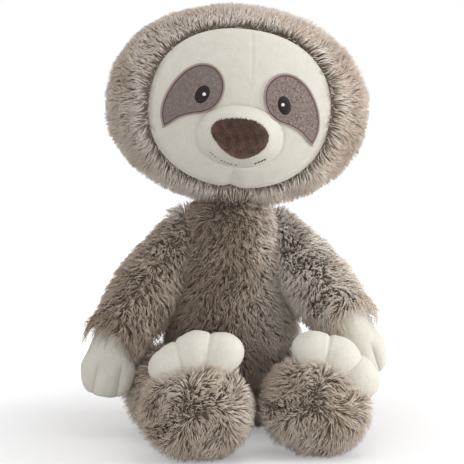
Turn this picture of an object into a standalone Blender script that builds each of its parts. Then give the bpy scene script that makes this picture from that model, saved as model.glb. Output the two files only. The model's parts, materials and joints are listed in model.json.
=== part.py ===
"""Plush sloth, sitting, with its covers, stuffing and sewn joints as separate solids.

Metres, +Z up. The toy faces -Y. Left and right are as seen from the front, so left is -X.
Each limb is a ball drawn out along a short spine, because that is how a stuffed limb swells from
the seam that holds it. The outer size of each furry piece is the size over its pile.
"""

import math

import bmesh
import bpy
from mathutils import Matrix, Vector

for old in list(bpy.data.objects):
    bpy.data.objects.remove(old, do_unlink=True)

# Cloth, seams and clearances
PILE_CLOTH = 0.005
SMOOTH_CLOTH = 0.0014
THREAD = 0.0007
SEAM_GAP = 0.0003
WELD = 0.000005
JOINT_GAP = 0.0009
KEPT_SHARE = 0.45
KEPT_TURN = math.radians(5)
TRAVEL_TURN = math.radians(3)
FLOOR_CUT = 0.0005
OVERRUN = 0.02

# Torso, drawn down from the middle of the neck dome to the seat
NECK_HEIGHT = 0.128
NECK_RADIUS = 0.0325
NECK_TO_LEFT = 0.004
BELLY_HALF_WIDTH = 0.0488
BELLY_HALF_DEPTH = 0.043
TORSO_FORWARD = 0.006
BODY_TURN = math.radians(10)
TORSO_END_POWER = 0.42
TORSO_SWELL_SHARES = (
    (0.0, 0.0), (0.12, 0.32), (0.3, 0.62), (0.5, 0.92), (0.62, 1.0), (0.85, 0.9), (1.0, 0.72),
)

# Neck seam, two turned-in cloth edges that lie as rings between the torso's dome and the head
NECK_RING_FROM = math.radians(16)
NECK_RING_TO = math.radians(45)
NECK_HEAD_GAP = 0.0005

# Head, which the neck's dome reaches into
NECK_IN_HEAD = 0.013
HEAD_FORWARD = 0.008
HEAD_HALF_WIDTH = 0.0845
HEAD_HALF_DEPTH = 0.0565
HEAD_HALF_HEIGHT = 0.064
HEAD_HEIGHT = NECK_HEIGHT + NECK_RADIUS - NECK_IN_HEAD + HEAD_HALF_HEIGHT
HEAD_FULLNESS = 2.08
HEAD_TURN = math.radians(5)
HEAD_ROLL = math.radians(7.5)

# Face, a shallow dome of smooth cloth in the head's opening
FACE_HALF_WIDTH = 0.0565
FACE_HALF_HEIGHT = 0.0505
FACE_DOME_HALF_WIDTH = 0.068
FACE_DOME_HALF_DEPTH = 0.055
FACE_DOME_HALF_HEIGHT = 0.061
FACE_EDGE_DEPTH = 0.028
FACE_FULLNESS = 2.0
MUZZLE_HALF_WIDTH = 0.027
MUZZLE_HALF_HEIGHT = 0.0205
MUZZLE_HALF_DEPTH = 0.021
MUZZLE_FULLNESS = 2.15
MUZZLE_FORWARD = 0.0475
MUZZLE_DROP = 0.0165
NOSE_WIDTH = 0.035
NOSE_HEIGHT = 0.0255
NOSE_THICKNESS = 0.0022
NOSE_TO_LEFT = 0.002
NOSE_DROP = 0.0008
PATCH_WIDTH = 0.043
PATCH_HEIGHT = 0.040
PATCH_APART = 0.0305
PATCH_RISE = 0.0045
EYE_WIDTH = 0.0080
EYE_HEIGHT = 0.0120
EYE_APART = 0.0255
EYE_RISE = 0.0062
EYE_LEAN = math.radians(24)
# Corners of the right patch and of the nose, as shares of their half width and half height.
# The patch runs out into a tail below its outer side.
PATCH_OUTLINE_SHARES = (
    (-0.98, 0.1), (-0.86, 0.62), (-0.45, 0.95), (0.1, 0.98), (0.6, 0.62), (0.92, 0.0), (0.98, -0.55),
    (0.9, -1.2), (0.62, -0.86), (0.2, -0.66), (-0.4, -0.52), (-0.82, -0.3),
)
NOSE_OUTLINE_SHARES = (
    (-0.98, 0.25), (-0.8, 0.72), (-0.3, 0.98), (0.3, 0.98), (0.8, 0.72), (0.98, 0.25), (0.8, -0.3),
    (0.35, -0.92), (-0.35, -0.92), (-0.8, -0.3),
)

# Arms, from the shoulder ball to the sleeve's end. The left shoulder sits higher, as the fill has settled.
SHOULDER_APART = {"left": 0.0300, "right": 0.0283}
SHOULDER_BELOW_NECK = {"left": 0.003, "right": 0.005}
SHOULDER_BACK = 0.006
SHOULDER_RADIUS = 0.020
ARM_LENGTH = 0.094
ARM_HALF_WIDTH = 0.0248
ARM_BEND = 0.008
ARM_END_POWER = 0.3
ARM_LIFT = math.radians(50)
ARM_OUT = {"left": math.radians(42.7), "right": math.radians(28.5)}
ARM_FORWARD = {"left": math.radians(20), "right": math.radians(52)}
ARM_SWELL_SHARES = ((0.0, 0.0), (0.3, 0.6), (0.6, 1.0), (1.0, 0.95))

# Hands, smooth mittens with two sewn channels on each face
WRIST_RADIUS = 0.0125
WRIST_INSIDE = 0.010
HAND_LENGTH = 0.037
HAND_HALF_WIDTH = 0.0198
HAND_HALF_THICKNESS = 0.0105
HAND_END_POWER = 0.5
HAND_BEND = math.radians(15)
HAND_OUT = {"left": math.radians(13), "right": math.radians(28)}
HAND_FORWARD = {"left": math.radians(10), "right": math.radians(4)}
HAND_SWELL_SHARES = ((0.0, 0.0), (0.25, 0.35), (0.5, 0.9), (0.8, 1.0), (1.0, 0.9))
CHANNEL_DEPTH_SHARE = 0.18
CHANNEL_PLACE_SHARE = 0.36
CHANNEL_WIDTH_SHARE = 0.14
CHANNEL_START_SHARE = 0.7

# Legs, from the hip ball to the ankle ball
HIP_APART = 0.0445
HIP_FORWARD = 0.010
HIP_RADIUS = 0.0285
LEG_LENGTH = 0.062
ANKLE_RADIUS = 0.0195
LEG_INWARD = math.radians(7)
LEG_RISE = math.radians(5)
LEG_LIFT = {"left": math.radians(22), "right": math.radians(5)}

# Feet, round furry soles with three sewn toes behind their upper edge
FOOT_HALF_WIDTH = 0.0362
FOOT_HALF_HEIGHT = 0.0315
FOOT_HALF_DEPTH = 0.022
FOOT_FORWARD = 0.016
FOOT_FULLNESS = 2.2
FOOT_TWIST = math.radians(20)
FOOT_ROLL = {"left": math.radians(-3), "right": math.radians(23)}
TOE_BACK = 0.005
TOE_HALF_WIDTH = 0.0125
TOE_HALF_LENGTH = 0.0158
TOE_HALF_DEPTH = 0.0120
TOE_FULLNESS = 2.2
TOE_OWN_TURN = math.radians(8)
# Each foot's toes from -X to +X: how far out from the sole's middle, and at what angle
TOE_REACHES = {"left": (0.0270, 0.0325, 0.0350), "right": (0.0300, 0.0295, 0.0275)}
TOE_TURNS = {
    "left": (math.radians(-29), 0.0, math.radians(27)),
    "right": (math.radians(-29), 0.0, math.radians(34)),
}

# Points round and along the forms. A fill, and the hollow round it, have half the points round.
TORSO_POINTS = (18, 12)
HEAD_POINTS = (24, 14)
LIMB_POINTS = (14, 10)
FOOT_POINTS = (16, 10)
HAND_POINTS = (16, 10)
MUZZLE_POINTS = (18, 10)
DOME_POINTS = (22, 14)
TOE_POINTS = (12, 9)
SOCKET_POINTS = (18, 10)
KEPT_POINTS = (28, 14)
RING_STEPS = 20
BAND_STEPS = 3
OVAL_SEGMENTS = 36
OUTLINE_STEPS = 3
EYE_CORNERS = 8

LEFT_RIGHT = (("left", -1), ("right", 1))

toy = bpy.data.collections.new("plush_sloth")
cutters = bpy.data.collections.new("cutters")
bpy.context.scene.collection.children.link(toy)
bpy.context.scene.collection.children.link(cutters)


def finish(name, red, green, blue, roughness):
    """A material with one Principled shader."""
    material = bpy.data.materials.new(name)
    material.use_nodes = True
    shader = material.node_tree.nodes["Principled BSDF"]
    shader.inputs["Base Color"].default_value = (red, green, blue, 1.0)
    shader.inputs["Roughness"].default_value = roughness
    shader.inputs["Metallic"].default_value = 0.0
    return material


pile_cloth = finish("taupe_pile_cloth", 0.27, 0.23, 0.19, 0.95)
smooth_cloth = finish("cream_short_plush", 0.69, 0.67, 0.6, 0.9)
patch_cloth = finish("mauve_brushed_cloth", 0.2, 0.16, 0.15, 0.85)
nose_cloth = finish("brown_short_plush", 0.08, 0.045, 0.03, 0.9)
eye_thread = finish("dark_embroidery_thread", 0.025, 0.014, 0.015, 0.5)
fibre_fill = finish("polyester_fibre_fill", 0.85, 0.85, 0.83, 1.0)


def empty(name, parent, place, turn=None):
    """A frame that pieces hang from, at a place in its parent's frame."""
    frame = bpy.data.objects.new(name, None)
    toy.objects.link(frame)
    frame.parent = parent
    frame.location = place
    if turn is not None:
        frame.rotation_euler = turn.to_euler()
    return frame


def new_object(name, mesh, parent, collection, material=None):
    """An object in a frame, as a part or as a hidden cutter."""
    piece = bpy.data.objects.new(name, mesh)
    collection.objects.link(piece)
    piece.parent = parent
    if collection is cutters:
        piece.hide_render = True
        piece.display_type = "WIRE"
    if material is not None:
        mesh.materials.append(material)
        mesh.shade_smooth()
    return piece


def ball_mesh(name, place, points, turn=0.0):
    """A unit ball, its points turned about Z, whose points are moved by place.

    Its faces are split the same way each time, so that forms of one shape lie evenly in each other.
    """
    segments, rings = points
    mesh = bpy.data.meshes.new(name)
    shape = bmesh.new()
    turned = Matrix.Rotation(turn, 4, "Z")
    bmesh.ops.create_uvsphere(shape, u_segments=segments, v_segments=rings, radius=1.0, matrix=turned)
    for vert in shape.verts:
        vert.co = place(vert.co)
    bmesh.ops.triangulate(shape, faces=shape.faces, quad_method="FIXED")
    shape.to_mesh(mesh)
    shape.free()
    return mesh


def swelling(shares, along):
    """The share of the full girth at a share of the length, eased between the table's rows."""
    for (start, low), (end, high) in zip(shares, shares[1:]):
        if along <= end:
            step = (along - start) / (end - start)
            return low + (high - low) * step
    return shares[-1][1]


def drawn_ball(root, length, half_width, half_depth, shares, end_power, bend, inset, channels=0.0):
    """A ball drawn out along -Z: the upper half stays round and the lower half is stretched.

    The girth goes from the ball's radius to the half width and half depth as the table says, and
    the spine bends sideways with the square of the length. A smaller end power gives a blunter
    end. Channels pinch two lines on each face.
    """

    def place(unit):
        if unit.z >= 0:
            return unit * (root - inset)
        polar = math.acos(max(-1.0, unit.z)) - math.pi / 2
        along = math.sin(polar)
        share = swelling(shares, along)
        wide = root + (half_width - root) * share - inset
        deep = root + (half_depth - root) * share - inset
        level = math.hypot(unit.x, unit.y)
        if level == 0.0:
            return Vector((bend * along**2, 0.0, inset - length))
        across = unit.x / level
        front = unit.y / level
        end = math.cos(polar) ** end_power
        pinch = 1.0
        if channels:
            near = math.exp(-(((abs(across) - CHANNEL_PLACE_SHARE) / CHANNEL_WIDTH_SHARE) ** 2))
            pinch = 1.0 - channels * near * min(1.0, along / CHANNEL_START_SHARE)
        drop = -(length - inset) * along
        return Vector((bend * along**2 + wide * across * end, deep * front * end * pinch, drop))

    return place


def capsule(root, length, end_radius, inset):
    """A ball at the origin and a smaller one at the far end along -Z, with a tapered tube between."""

    def place(unit):
        if unit.z >= 0:
            return unit * (root - inset)
        polar = math.acos(max(-1.0, unit.z)) - math.pi / 2
        level = math.hypot(unit.x, unit.y)
        across = Vector((unit.x / level, unit.y / level, 0.0)) if level else Vector((0.0, 0.0, 0.0))
        tube = min(1.0, polar / (math.pi / 4))
        radius = root + (end_radius - root) * tube - inset
        if polar <= math.pi / 4:
            return across * radius + Vector((0.0, 0.0, -length * tube))
        cap = 2 * (polar - math.pi / 4)
        return across * (radius * math.cos(cap)) + Vector((0.0, 0.0, -length - radius * math.sin(cap)))

    return place


def plump(half_x, half_y, half_z, fullness, inset):
    """A rounded form: a ball with its three half sizes, squarer as the fullness passes 2."""

    def place(unit):
        norm = sum(abs(part) ** fullness for part in unit) ** (1 / fullness)
        sizes = (half_x - inset, half_y - inset, half_z - inset)
        return Vector(part * size / norm for part, size in zip(unit, sizes))

    return place


def ball_cutter(name, parent, centre, radius, points=SOCKET_POINTS, turn=0.0):
    """A ball whose flat faces lie at the radius, so that a round piece of that size turns in it."""
    segments, rings = points
    corner = radius / (math.cos(math.pi / segments) * math.cos(math.pi / (2 * rings)))
    mesh = ball_mesh(name, lambda unit: unit * corner, points, turn)
    cutter = new_object(name, mesh, parent, cutters)
    cutter.location = centre
    return cutter


def box_cutter(name, parent, low, high):
    mesh = bpy.data.meshes.new(name)
    shape = bmesh.new()
    middle = (Vector(low) + Vector(high)) / 2
    size = Vector(high) - Vector(low)
    matrix = Matrix.Translation(middle) @ Matrix.Diagonal((*size, 1.0))
    bmesh.ops.create_cube(shape, size=1.0, matrix=matrix)
    shape.to_mesh(mesh)
    shape.free()
    return new_object(name, mesh, parent, cutters)


def oval_cutter(name, parent, half_width, half_height, front, back):
    """An elliptical bar along Y, from front to back."""
    mesh = bpy.data.meshes.new(name)
    shape = bmesh.new()
    matrix = (
        Matrix.Translation((0.0, (front + back) / 2, 0.0))
        @ Matrix.Diagonal((half_width, back - front, half_height, 1.0))
        @ Matrix.Rotation(math.pi / 2, 4, "X")
    )
    bmesh.ops.create_cone(
        shape, cap_ends=True, segments=OVAL_SEGMENTS, radius1=1.0, radius2=1.0, depth=1.0, matrix=matrix
    )
    shape.to_mesh(mesh)
    shape.free()
    return new_object(name, mesh, parent, cutters)


def outline_prism(name, parent, shares, half_width, half_height, centre, depth, side=1, lean=0.0):
    """A flat outline in the XZ plane, drawn as a smooth closed curve and given depth along Y."""
    curve = bpy.data.curves.new(name, "CURVE")
    curve.dimensions = "2D"
    curve.fill_mode = "BOTH"
    curve.extrude = depth / 2
    curve.resolution_u = OUTLINE_STEPS
    spline = curve.splines.new("BEZIER")
    spline.bezier_points.add(len(shares) - 1)
    for point, (across, up) in zip(spline.bezier_points, shares):
        upright = Vector((across * half_width, up * half_height))
        leaning = Matrix.Rotation(-lean, 2) @ upright
        point.co = (side * leaning.x, leaning.y, 0.0)
        point.handle_left_type = "AUTO"
        point.handle_right_type = "AUTO"
    spline.use_cyclic_u = True
    drawn = bpy.data.objects.new(name + "_curve", curve)
    toy.objects.link(drawn)
    bpy.context.view_layer.update()
    solid = bpy.data.meshes.new_from_object(drawn.evaluated_get(bpy.context.evaluated_depsgraph_get()))
    bpy.data.objects.remove(drawn, do_unlink=True)
    shape = bmesh.new()
    shape.from_mesh(solid)
    bmesh.ops.remove_doubles(shape, verts=shape.verts, dist=WELD)
    stand = Matrix.Translation(centre) @ Matrix.Rotation(math.pi / 2, 4, "X")
    bmesh.ops.transform(shape, matrix=stand, verts=shape.verts)
    bmesh.ops.recalc_face_normals(shape, faces=shape.faces)
    shape.to_mesh(solid)
    shape.free()
    solid.name = name
    return solid


def cut(piece, cutter, operation="DIFFERENCE", solver="EXACT"):
    boolean = piece.modifiers.new(operation.lower() + "_" + cutter.name, "BOOLEAN")
    boolean.operation = operation
    boolean.solver = solver
    boolean.object = cutter


def cover_and_fill(stem, parent, form, points, cuts, reliefs=(), mouth=None):
    """A cloth cover with the fill inside it: form(inset) gives the surface at each depth.

    The reliefs are cut with the manifold solver, because the exact one takes away the wrong side
    of such a many-sided cutter.
    """
    fill_points = (points[0] // 2, points[1])
    hollow_mesh = ball_mesh(stem, form(PILE_CLOTH), fill_points)
    hollow = new_object(stem + "_hollow_cutter", hollow_mesh, parent, cutters)
    cover = new_object(stem + "_cover", ball_mesh(stem, form(0.0), points), parent, toy, pile_cloth)
    fill_mesh = ball_mesh(stem, form(PILE_CLOTH + SEAM_GAP), fill_points)
    fill = new_object(stem + "_stuffing", fill_mesh, parent, toy, fibre_fill)
    cut(cover, hollow)
    if mouth is not None:
        cut(cover, mouth)
    for piece in (cover, fill):
        for cutter in cuts:
            cut(piece, cutter)
        for cutter in reliefs:
            cut(piece, cutter, solver="MANIFOLD")


# Frames: the whole toy, its torso with the neck, and the floor it sits on
toy_frame = empty("toy_frame", None, (0.0, 0.0, 0.0))
body_turned = Matrix.Rotation(BODY_TURN, 3, "Z")
body_frame = empty("body_frame", toy_frame, (0.0, -TORSO_FORWARD, 0.0), body_turned)
neck_frame = empty("neck_frame", body_frame, (-NECK_TO_LEFT, 0.0, NECK_HEIGHT))
floor_cutter = box_cutter(
    "floor_cutter",
    toy_frame,
    (-HEAD_HEIGHT, -HEAD_HEIGHT, -OVERRUN),
    (HEAD_HEIGHT, HEAD_HEIGHT, 0.0),
)


def torso_form(inset):
    return drawn_ball(
        NECK_RADIUS, NECK_HEIGHT + FLOOR_CUT, BELLY_HALF_WIDTH, BELLY_HALF_DEPTH, TORSO_SWELL_SHARES,
        TORSO_END_POWER, NECK_TO_LEFT, inset,
    )


def arm_form(side):
    def form(inset):
        return drawn_ball(
            SHOULDER_RADIUS, ARM_LENGTH, ARM_HALF_WIDTH, ARM_HALF_WIDTH, ARM_SWELL_SHARES,
            ARM_END_POWER, -side * ARM_BEND, inset,
        )

    return form


def leg_form(inset):
    return capsule(HIP_RADIUS, LEG_LENGTH, ANKLE_RADIUS, inset)


def foot_form(inset):
    return plump(FOOT_HALF_WIDTH, FOOT_HALF_DEPTH, FOOT_HALF_HEIGHT, FOOT_FULLNESS, inset)


def head_form(inset):
    return plump(HEAD_HALF_WIDTH, HEAD_HALF_DEPTH, HEAD_HALF_HEIGHT, HEAD_FULLNESS, inset)


def face_form(inset):
    return plump(
        FACE_DOME_HALF_WIDTH, FACE_DOME_HALF_DEPTH, FACE_DOME_HALF_HEIGHT, FACE_FULLNESS, inset
    )


# Frames of the limbs. A limb hangs along its own -Z from the frame on its joint.
shoulders = {}
wrists = {}
hips = {}
ankles = {}
feet = {}
for name, side in LEFT_RIGHT:
    outward = Matrix.Rotation(-side * ARM_OUT[name], 3, "Y")
    forward = Matrix.Rotation(-ARM_FORWARD[name], 3, "X")
    shoulder_place = (side * SHOULDER_APART[name], SHOULDER_BACK, NECK_HEIGHT - SHOULDER_BELOW_NECK[name])
    shoulders[name] = empty("shoulder_" + name, body_frame, shoulder_place, forward @ outward)
    wrist_share = (ARM_LENGTH - WRIST_INSIDE) / ARM_LENGTH
    wrist_place = (-side * ARM_BEND * wrist_share**2, 0.0, -wrist_share * ARM_LENGTH)
    hand_out = Matrix.Rotation(-side * HAND_OUT[name], 3, "Y")
    hand_forward = Matrix.Rotation(-HAND_FORWARD[name], 3, "X")
    hand_turn = (forward @ outward).inverted() @ hand_forward @ hand_out
    wrists[name] = empty("wrist_" + name, shoulders[name], wrist_place, hand_turn)
    hip_place = (side * HIP_APART, -HIP_FORWARD, HIP_RADIUS - FLOOR_CUT)
    lie = Matrix.Rotation(-(math.pi / 2 + LEG_RISE), 3, "X")
    inward = Matrix.Rotation(-side * LEG_INWARD, 3, "Z")
    hips[name] = empty("hip_" + name, body_frame, hip_place, inward @ lie)
    ankles[name] = empty("ankle_" + name, hips[name], (0.0, 0.0, -LEG_LENGTH))
bpy.context.view_layer.update()
for name, side in LEFT_RIGHT:
    ankle = ankles[name].matrix_world.translation - toy_frame.matrix_world.translation
    foot_place = (ankle.x, ankle.y - FOOT_FORWARD, FOOT_HALF_HEIGHT - FLOOR_CUT)
    feet[name] = empty("foot_" + name, toy_frame, foot_place, Matrix.Rotation(FOOT_ROLL[name], 3, "Y"))
bpy.context.view_layer.update()

# Sockets, one ball for each joint, larger than the ball that turns in it
shoulder_sockets = {}
hip_sockets = {}
wrist_sockets = {}
ankle_sockets = {}
for name, side in LEFT_RIGHT:
    shoulder_sockets[name] = ball_cutter(
        "shoulder_socket_" + name, shoulders[name], (0, 0, 0), SHOULDER_RADIUS + JOINT_GAP
    )
    hip_sockets[name] = ball_cutter("hip_socket_" + name, hips[name], (0, 0, 0), HIP_RADIUS + JOINT_GAP)
    wrist_sockets[name] = ball_cutter(
        "wrist_socket_" + name, wrists[name], (0, 0, 0), WRIST_RADIUS + JOINT_GAP
    )
    ankle_sockets[name] = ball_cutter(
        "ankle_socket_" + name, ankles[name], (0, 0, 0), ANKLE_RADIUS + JOINT_GAP
    )

# Torso: pile cloth over fibre fill, open at the neck, the shoulders and the hips
neck_mouth = ball_cutter(
    "neck_mouth", neck_frame, (0.0, 0.0, NECK_RADIUS), NECK_RADIUS * math.sin(NECK_RING_FROM)
)
cover_and_fill(
    "torso",
    neck_frame,
    torso_form,
    TORSO_POINTS,
    [*shoulder_sockets.values(), *hip_sockets.values(), floor_cutter],
    mouth=neck_mouth,
)


def ring_band(name, inner):
    """A band of turned-in cloth round a ball about the neck, from one polar angle to another."""
    mesh = bpy.data.meshes.new(name)
    shape = bmesh.new()
    outline = []
    down = range(BAND_STEPS + 1)
    for radius, order in ((inner + SMOOTH_CLOTH, down), (inner, reversed(down))):
        for step in order:
            polar = NECK_RING_FROM + (NECK_RING_TO - NECK_RING_FROM) * step / BAND_STEPS
            corner = (radius * math.sin(polar), 0.0, radius * math.cos(polar))
            outline.append(shape.verts.new(corner))
    for start, end in zip(outline, outline[1:] + outline[:1]):
        shape.edges.new((start, end))
    shape.to_mesh(mesh)
    shape.free()
    band = new_object(name, mesh, neck_frame, toy, smooth_cloth)
    turn = band.modifiers.new("turned", "SCREW")
    turn.steps = RING_STEPS
    turn.render_steps = RING_STEPS
    turn.use_merge_vertices = True
    turn.merge_threshold = WELD
    turn.use_normal_calculate = True
    return band


lower_ring_inner = NECK_RADIUS + JOINT_GAP
upper_ring_inner = lower_ring_inner + SMOOTH_CLOTH + JOINT_GAP
neck_recess = upper_ring_inner + SMOOTH_CLOTH + NECK_HEAD_GAP
ring_band("neck_seam_lower", lower_ring_inner)
ring_band("neck_seam_upper", upper_ring_inner)

# Head: a wide pile cover with an oval opening whose edge is turned in to the face
turned = Matrix.Rotation(HEAD_TURN, 3, "Z") @ Matrix.Rotation(HEAD_ROLL, 3, "Y")
head_frame = empty("head_frame", toy_frame, (0.0, -HEAD_FORWARD, HEAD_HEIGHT), turned)
neck_cutter = ball_cutter("neck_recess_cutter", neck_frame, (0.0, 0.0, 0.0), neck_recess, DOME_POINTS)
before_face = -HEAD_HALF_DEPTH - OVERRUN
opening = oval_cutter(
    "face_opening_cutter", head_frame, FACE_HALF_WIDTH, FACE_HALF_HEIGHT, before_face, 0.0
)
collar = oval_cutter(
    "face_collar_cutter",
    head_frame,
    FACE_HALF_WIDTH + PILE_CLOTH,
    FACE_HALF_HEIGHT + PILE_CLOTH,
    before_face,
    -FACE_EDGE_DEPTH,
)
collar_seat = oval_cutter(
    "face_collar_seat_cutter",
    head_frame,
    FACE_HALF_WIDTH + PILE_CLOTH + SEAM_GAP,
    FACE_HALF_HEIGHT + PILE_CLOTH + SEAM_GAP,
    before_face,
    -FACE_EDGE_DEPTH + SEAM_GAP,
)
head_hollow = new_object(
    "head_hollow_cutter",
    ball_mesh("head_hollow", head_form(PILE_CLOTH), HEAD_POINTS),
    head_frame,
    cutters,
)
cut(head_hollow, collar)
head_cover = new_object(
    "head_cover",
    ball_mesh("head_cover", head_form(0.0), HEAD_POINTS),
    head_frame,
    toy,
    pile_cloth,
)
for cutter in (head_hollow, opening, neck_cutter):
    cut(head_cover, cutter)

# The fill behind the face swells into the opening
face_fill_inset = SMOOTH_CLOTH + SEAM_GAP
face_bulge = new_object(
    "face_bulge_cutter",
    ball_mesh("face_bulge", face_form(face_fill_inset), DOME_POINTS),
    head_frame,
    cutters,
)
bulge_limit = oval_cutter(
    "face_bulge_limit_cutter",
    head_frame,
    FACE_HALF_WIDTH - SEAM_GAP,
    FACE_HALF_HEIGHT - SEAM_GAP,
    before_face,
    PILE_CLOTH - FACE_EDGE_DEPTH,
)
cut(face_bulge, bulge_limit, "INTERSECT")
head_stuffing = new_object(
    "head_stuffing",
    ball_mesh("head_stuffing", head_form(PILE_CLOTH + SEAM_GAP), (HEAD_POINTS[0] // 2, HEAD_POINTS[1])),
    head_frame,
    toy,
    fibre_fill,
)
cut(head_stuffing, collar_seat)
cut(head_stuffing, face_bulge, "UNION")
cut(head_stuffing, neck_cutter)


# Face: two panels of smooth cloth, sewn to each other down the middle
panel_outline = oval_cutter(
    "face_outline_cutter",
    head_frame,
    FACE_HALF_WIDTH - SEAM_GAP,
    FACE_HALF_HEIGHT - SEAM_GAP,
    before_face,
    -FACE_EDGE_DEPTH,
)
for name, side in LEFT_RIGHT:
    panel_mesh = ball_mesh("face_panel_" + name, face_form(0.0), DOME_POINTS)
    panel = new_object("face_panel_" + name, panel_mesh, head_frame, toy, smooth_cloth)
    under_mesh = ball_mesh("face_under_" + name, face_form(SMOOTH_CLOTH), DOME_POINTS)
    under = new_object(f"face_under_{name}_cutter", under_mesh, head_frame, cutters)
    edges = sorted((side * SEAM_GAP / 2, side * (FACE_HALF_WIDTH + OVERRUN)))
    half = box_cutter(
        "face_half_cutter_" + name,
        head_frame,
        (edges[0], before_face, -HEAD_HALF_HEIGHT),
        (edges[1], 0.0, HEAD_HALF_HEIGHT),
    )
    cut(panel, under)
    cut(panel, panel_outline, "INTERSECT")
    cut(panel, half, "INTERSECT")

# Muzzle: a stuffed round of smooth cloth on the face, and the plush nose on its front
muzzle_frame = empty("muzzle_frame", head_frame, (0.0, -MUZZLE_FORWARD, -MUZZLE_DROP))


def muzzle_form(inset):
    return plump(MUZZLE_HALF_WIDTH, MUZZLE_HALF_DEPTH, MUZZLE_HALF_HEIGHT, MUZZLE_FULLNESS, inset)


seat_mesh = ball_mesh("muzzle_seat", face_form(-SEAM_GAP), DOME_POINTS)
face_seat = new_object("muzzle_seat_cutter", seat_mesh, head_frame, cutters)
muzzle_mesh = ball_mesh("muzzle", muzzle_form(0.0), MUZZLE_POINTS)
muzzle = new_object("muzzle", muzzle_mesh, muzzle_frame, toy, smooth_cloth)
cut(muzzle, face_seat)

nose_prism = outline_prism(
    "nose",
    muzzle_frame,
    NOSE_OUTLINE_SHARES,
    NOSE_WIDTH / 2,
    NOSE_HEIGHT / 2,
    (-NOSE_TO_LEFT, -MUZZLE_HALF_DEPTH, -NOSE_DROP),
    MUZZLE_HALF_DEPTH + OVERRUN,
)
nose = new_object("nose", nose_prism, muzzle_frame, toy, nose_cloth)
over_mesh = ball_mesh("nose_over", muzzle_form(-SEAM_GAP - NOSE_THICKNESS), MUZZLE_POINTS)
nose_over = new_object("nose_over_cutter", over_mesh, muzzle_frame, cutters)
clear_mesh = ball_mesh("muzzle_clearance", muzzle_form(-SEAM_GAP), MUZZLE_POINTS)
muzzle_clearance = new_object("muzzle_clearance_cutter", clear_mesh, muzzle_frame, cutters)
cut(nose, nose_over, "INTERSECT")
cut(nose, muzzle_clearance)

# Eye patches and embroidered eyes, layers that follow the face
patch_low = SEAM_GAP
patch_high = patch_low + SMOOTH_CLOTH
eye_low = patch_high + SEAM_GAP
eye_high = eye_low + THREAD
eye_turns = [2 * math.pi * corner / EYE_CORNERS for corner in range(EYE_CORNERS)]
EYE_OUTLINE_SHARES = [(math.cos(turn), math.sin(turn)) for turn in eye_turns]
for name, side in LEFT_RIGHT:
    for stem, shares, width, height, apart, rise, low, high, lean, material in (
        (
            "eye_patch_", PATCH_OUTLINE_SHARES, PATCH_WIDTH, PATCH_HEIGHT, PATCH_APART, PATCH_RISE,
            patch_low, patch_high, 0.0, patch_cloth,
        ),
        (
            "eye_", EYE_OUTLINE_SHARES, EYE_WIDTH, EYE_HEIGHT, EYE_APART, EYE_RISE,
            eye_low, eye_high, -EYE_LEAN, eye_thread,
        ),
    ):
        mesh = outline_prism(
            stem + name,
            head_frame,
            shares,
            width / 2,
            height / 2,
            (side * apart, -FACE_DOME_HALF_DEPTH, rise),
            FACE_DOME_HALF_DEPTH,
            side,
            lean,
        )
        piece = new_object(stem + name, mesh, head_frame, toy, material)
        layers = (("_over", high, "INTERSECT"), ("_under", low, "DIFFERENCE"))
        for label, height_over, operation in layers:
            dome = new_object(
                stem + name + label + "_cutter",
                ball_mesh(stem + name + label, face_form(-height_over), DOME_POINTS),
                head_frame,
                cutters,
            )
            cut(piece, dome, operation)
        cut(piece, muzzle_clearance)


def relief(name, form, form_frame, points, hinge, ball_radius, axis, angles):
    """A cutter in the shape of a larger form, joined to itself turned back through a joint's travel.

    It is hollow where the joint's ball sits, so it trims only what lies outside the ball. Each
    turn has its points a little further round, because crossing edges in one plane cut badly.
    """
    centre = hinge.matrix_world.translation
    whole = None
    for number, angle in enumerate(angles):
        mesh = ball_mesh(name, form(-JOINT_GAP), points, number * TRAVEL_TURN)
        turned_form = new_object(f"{name}_{number}_cutter", mesh, toy_frame, cutters)
        turn = Matrix.Rotation(-angle, 4, axis)
        swing = Matrix.Translation(centre) @ turn @ Matrix.Translation(-centre)
        turned_form.matrix_world = swing @ form_frame.matrix_world
        if whole is None:
            whole = turned_form
        else:
            cut(whole, turned_form, "UNION", "MANIFOLD")
    kept_radius = ball_radius + JOINT_GAP * KEPT_SHARE
    kept = ball_cutter(name + "_kept_ball", hinge, (0.0, 0.0, 0.0), kept_radius, KEPT_POINTS, KEPT_TURN)
    cut(whole, kept, solver="MANIFOLD")
    return whole


body_x = body_frame.matrix_world.to_3x3() @ Vector((1.0, 0.0, 0.0))
body_y = body_frame.matrix_world.to_3x3() @ Vector((0.0, 1.0, 0.0))
toy_y = Vector((0.0, 1.0, 0.0))

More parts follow.
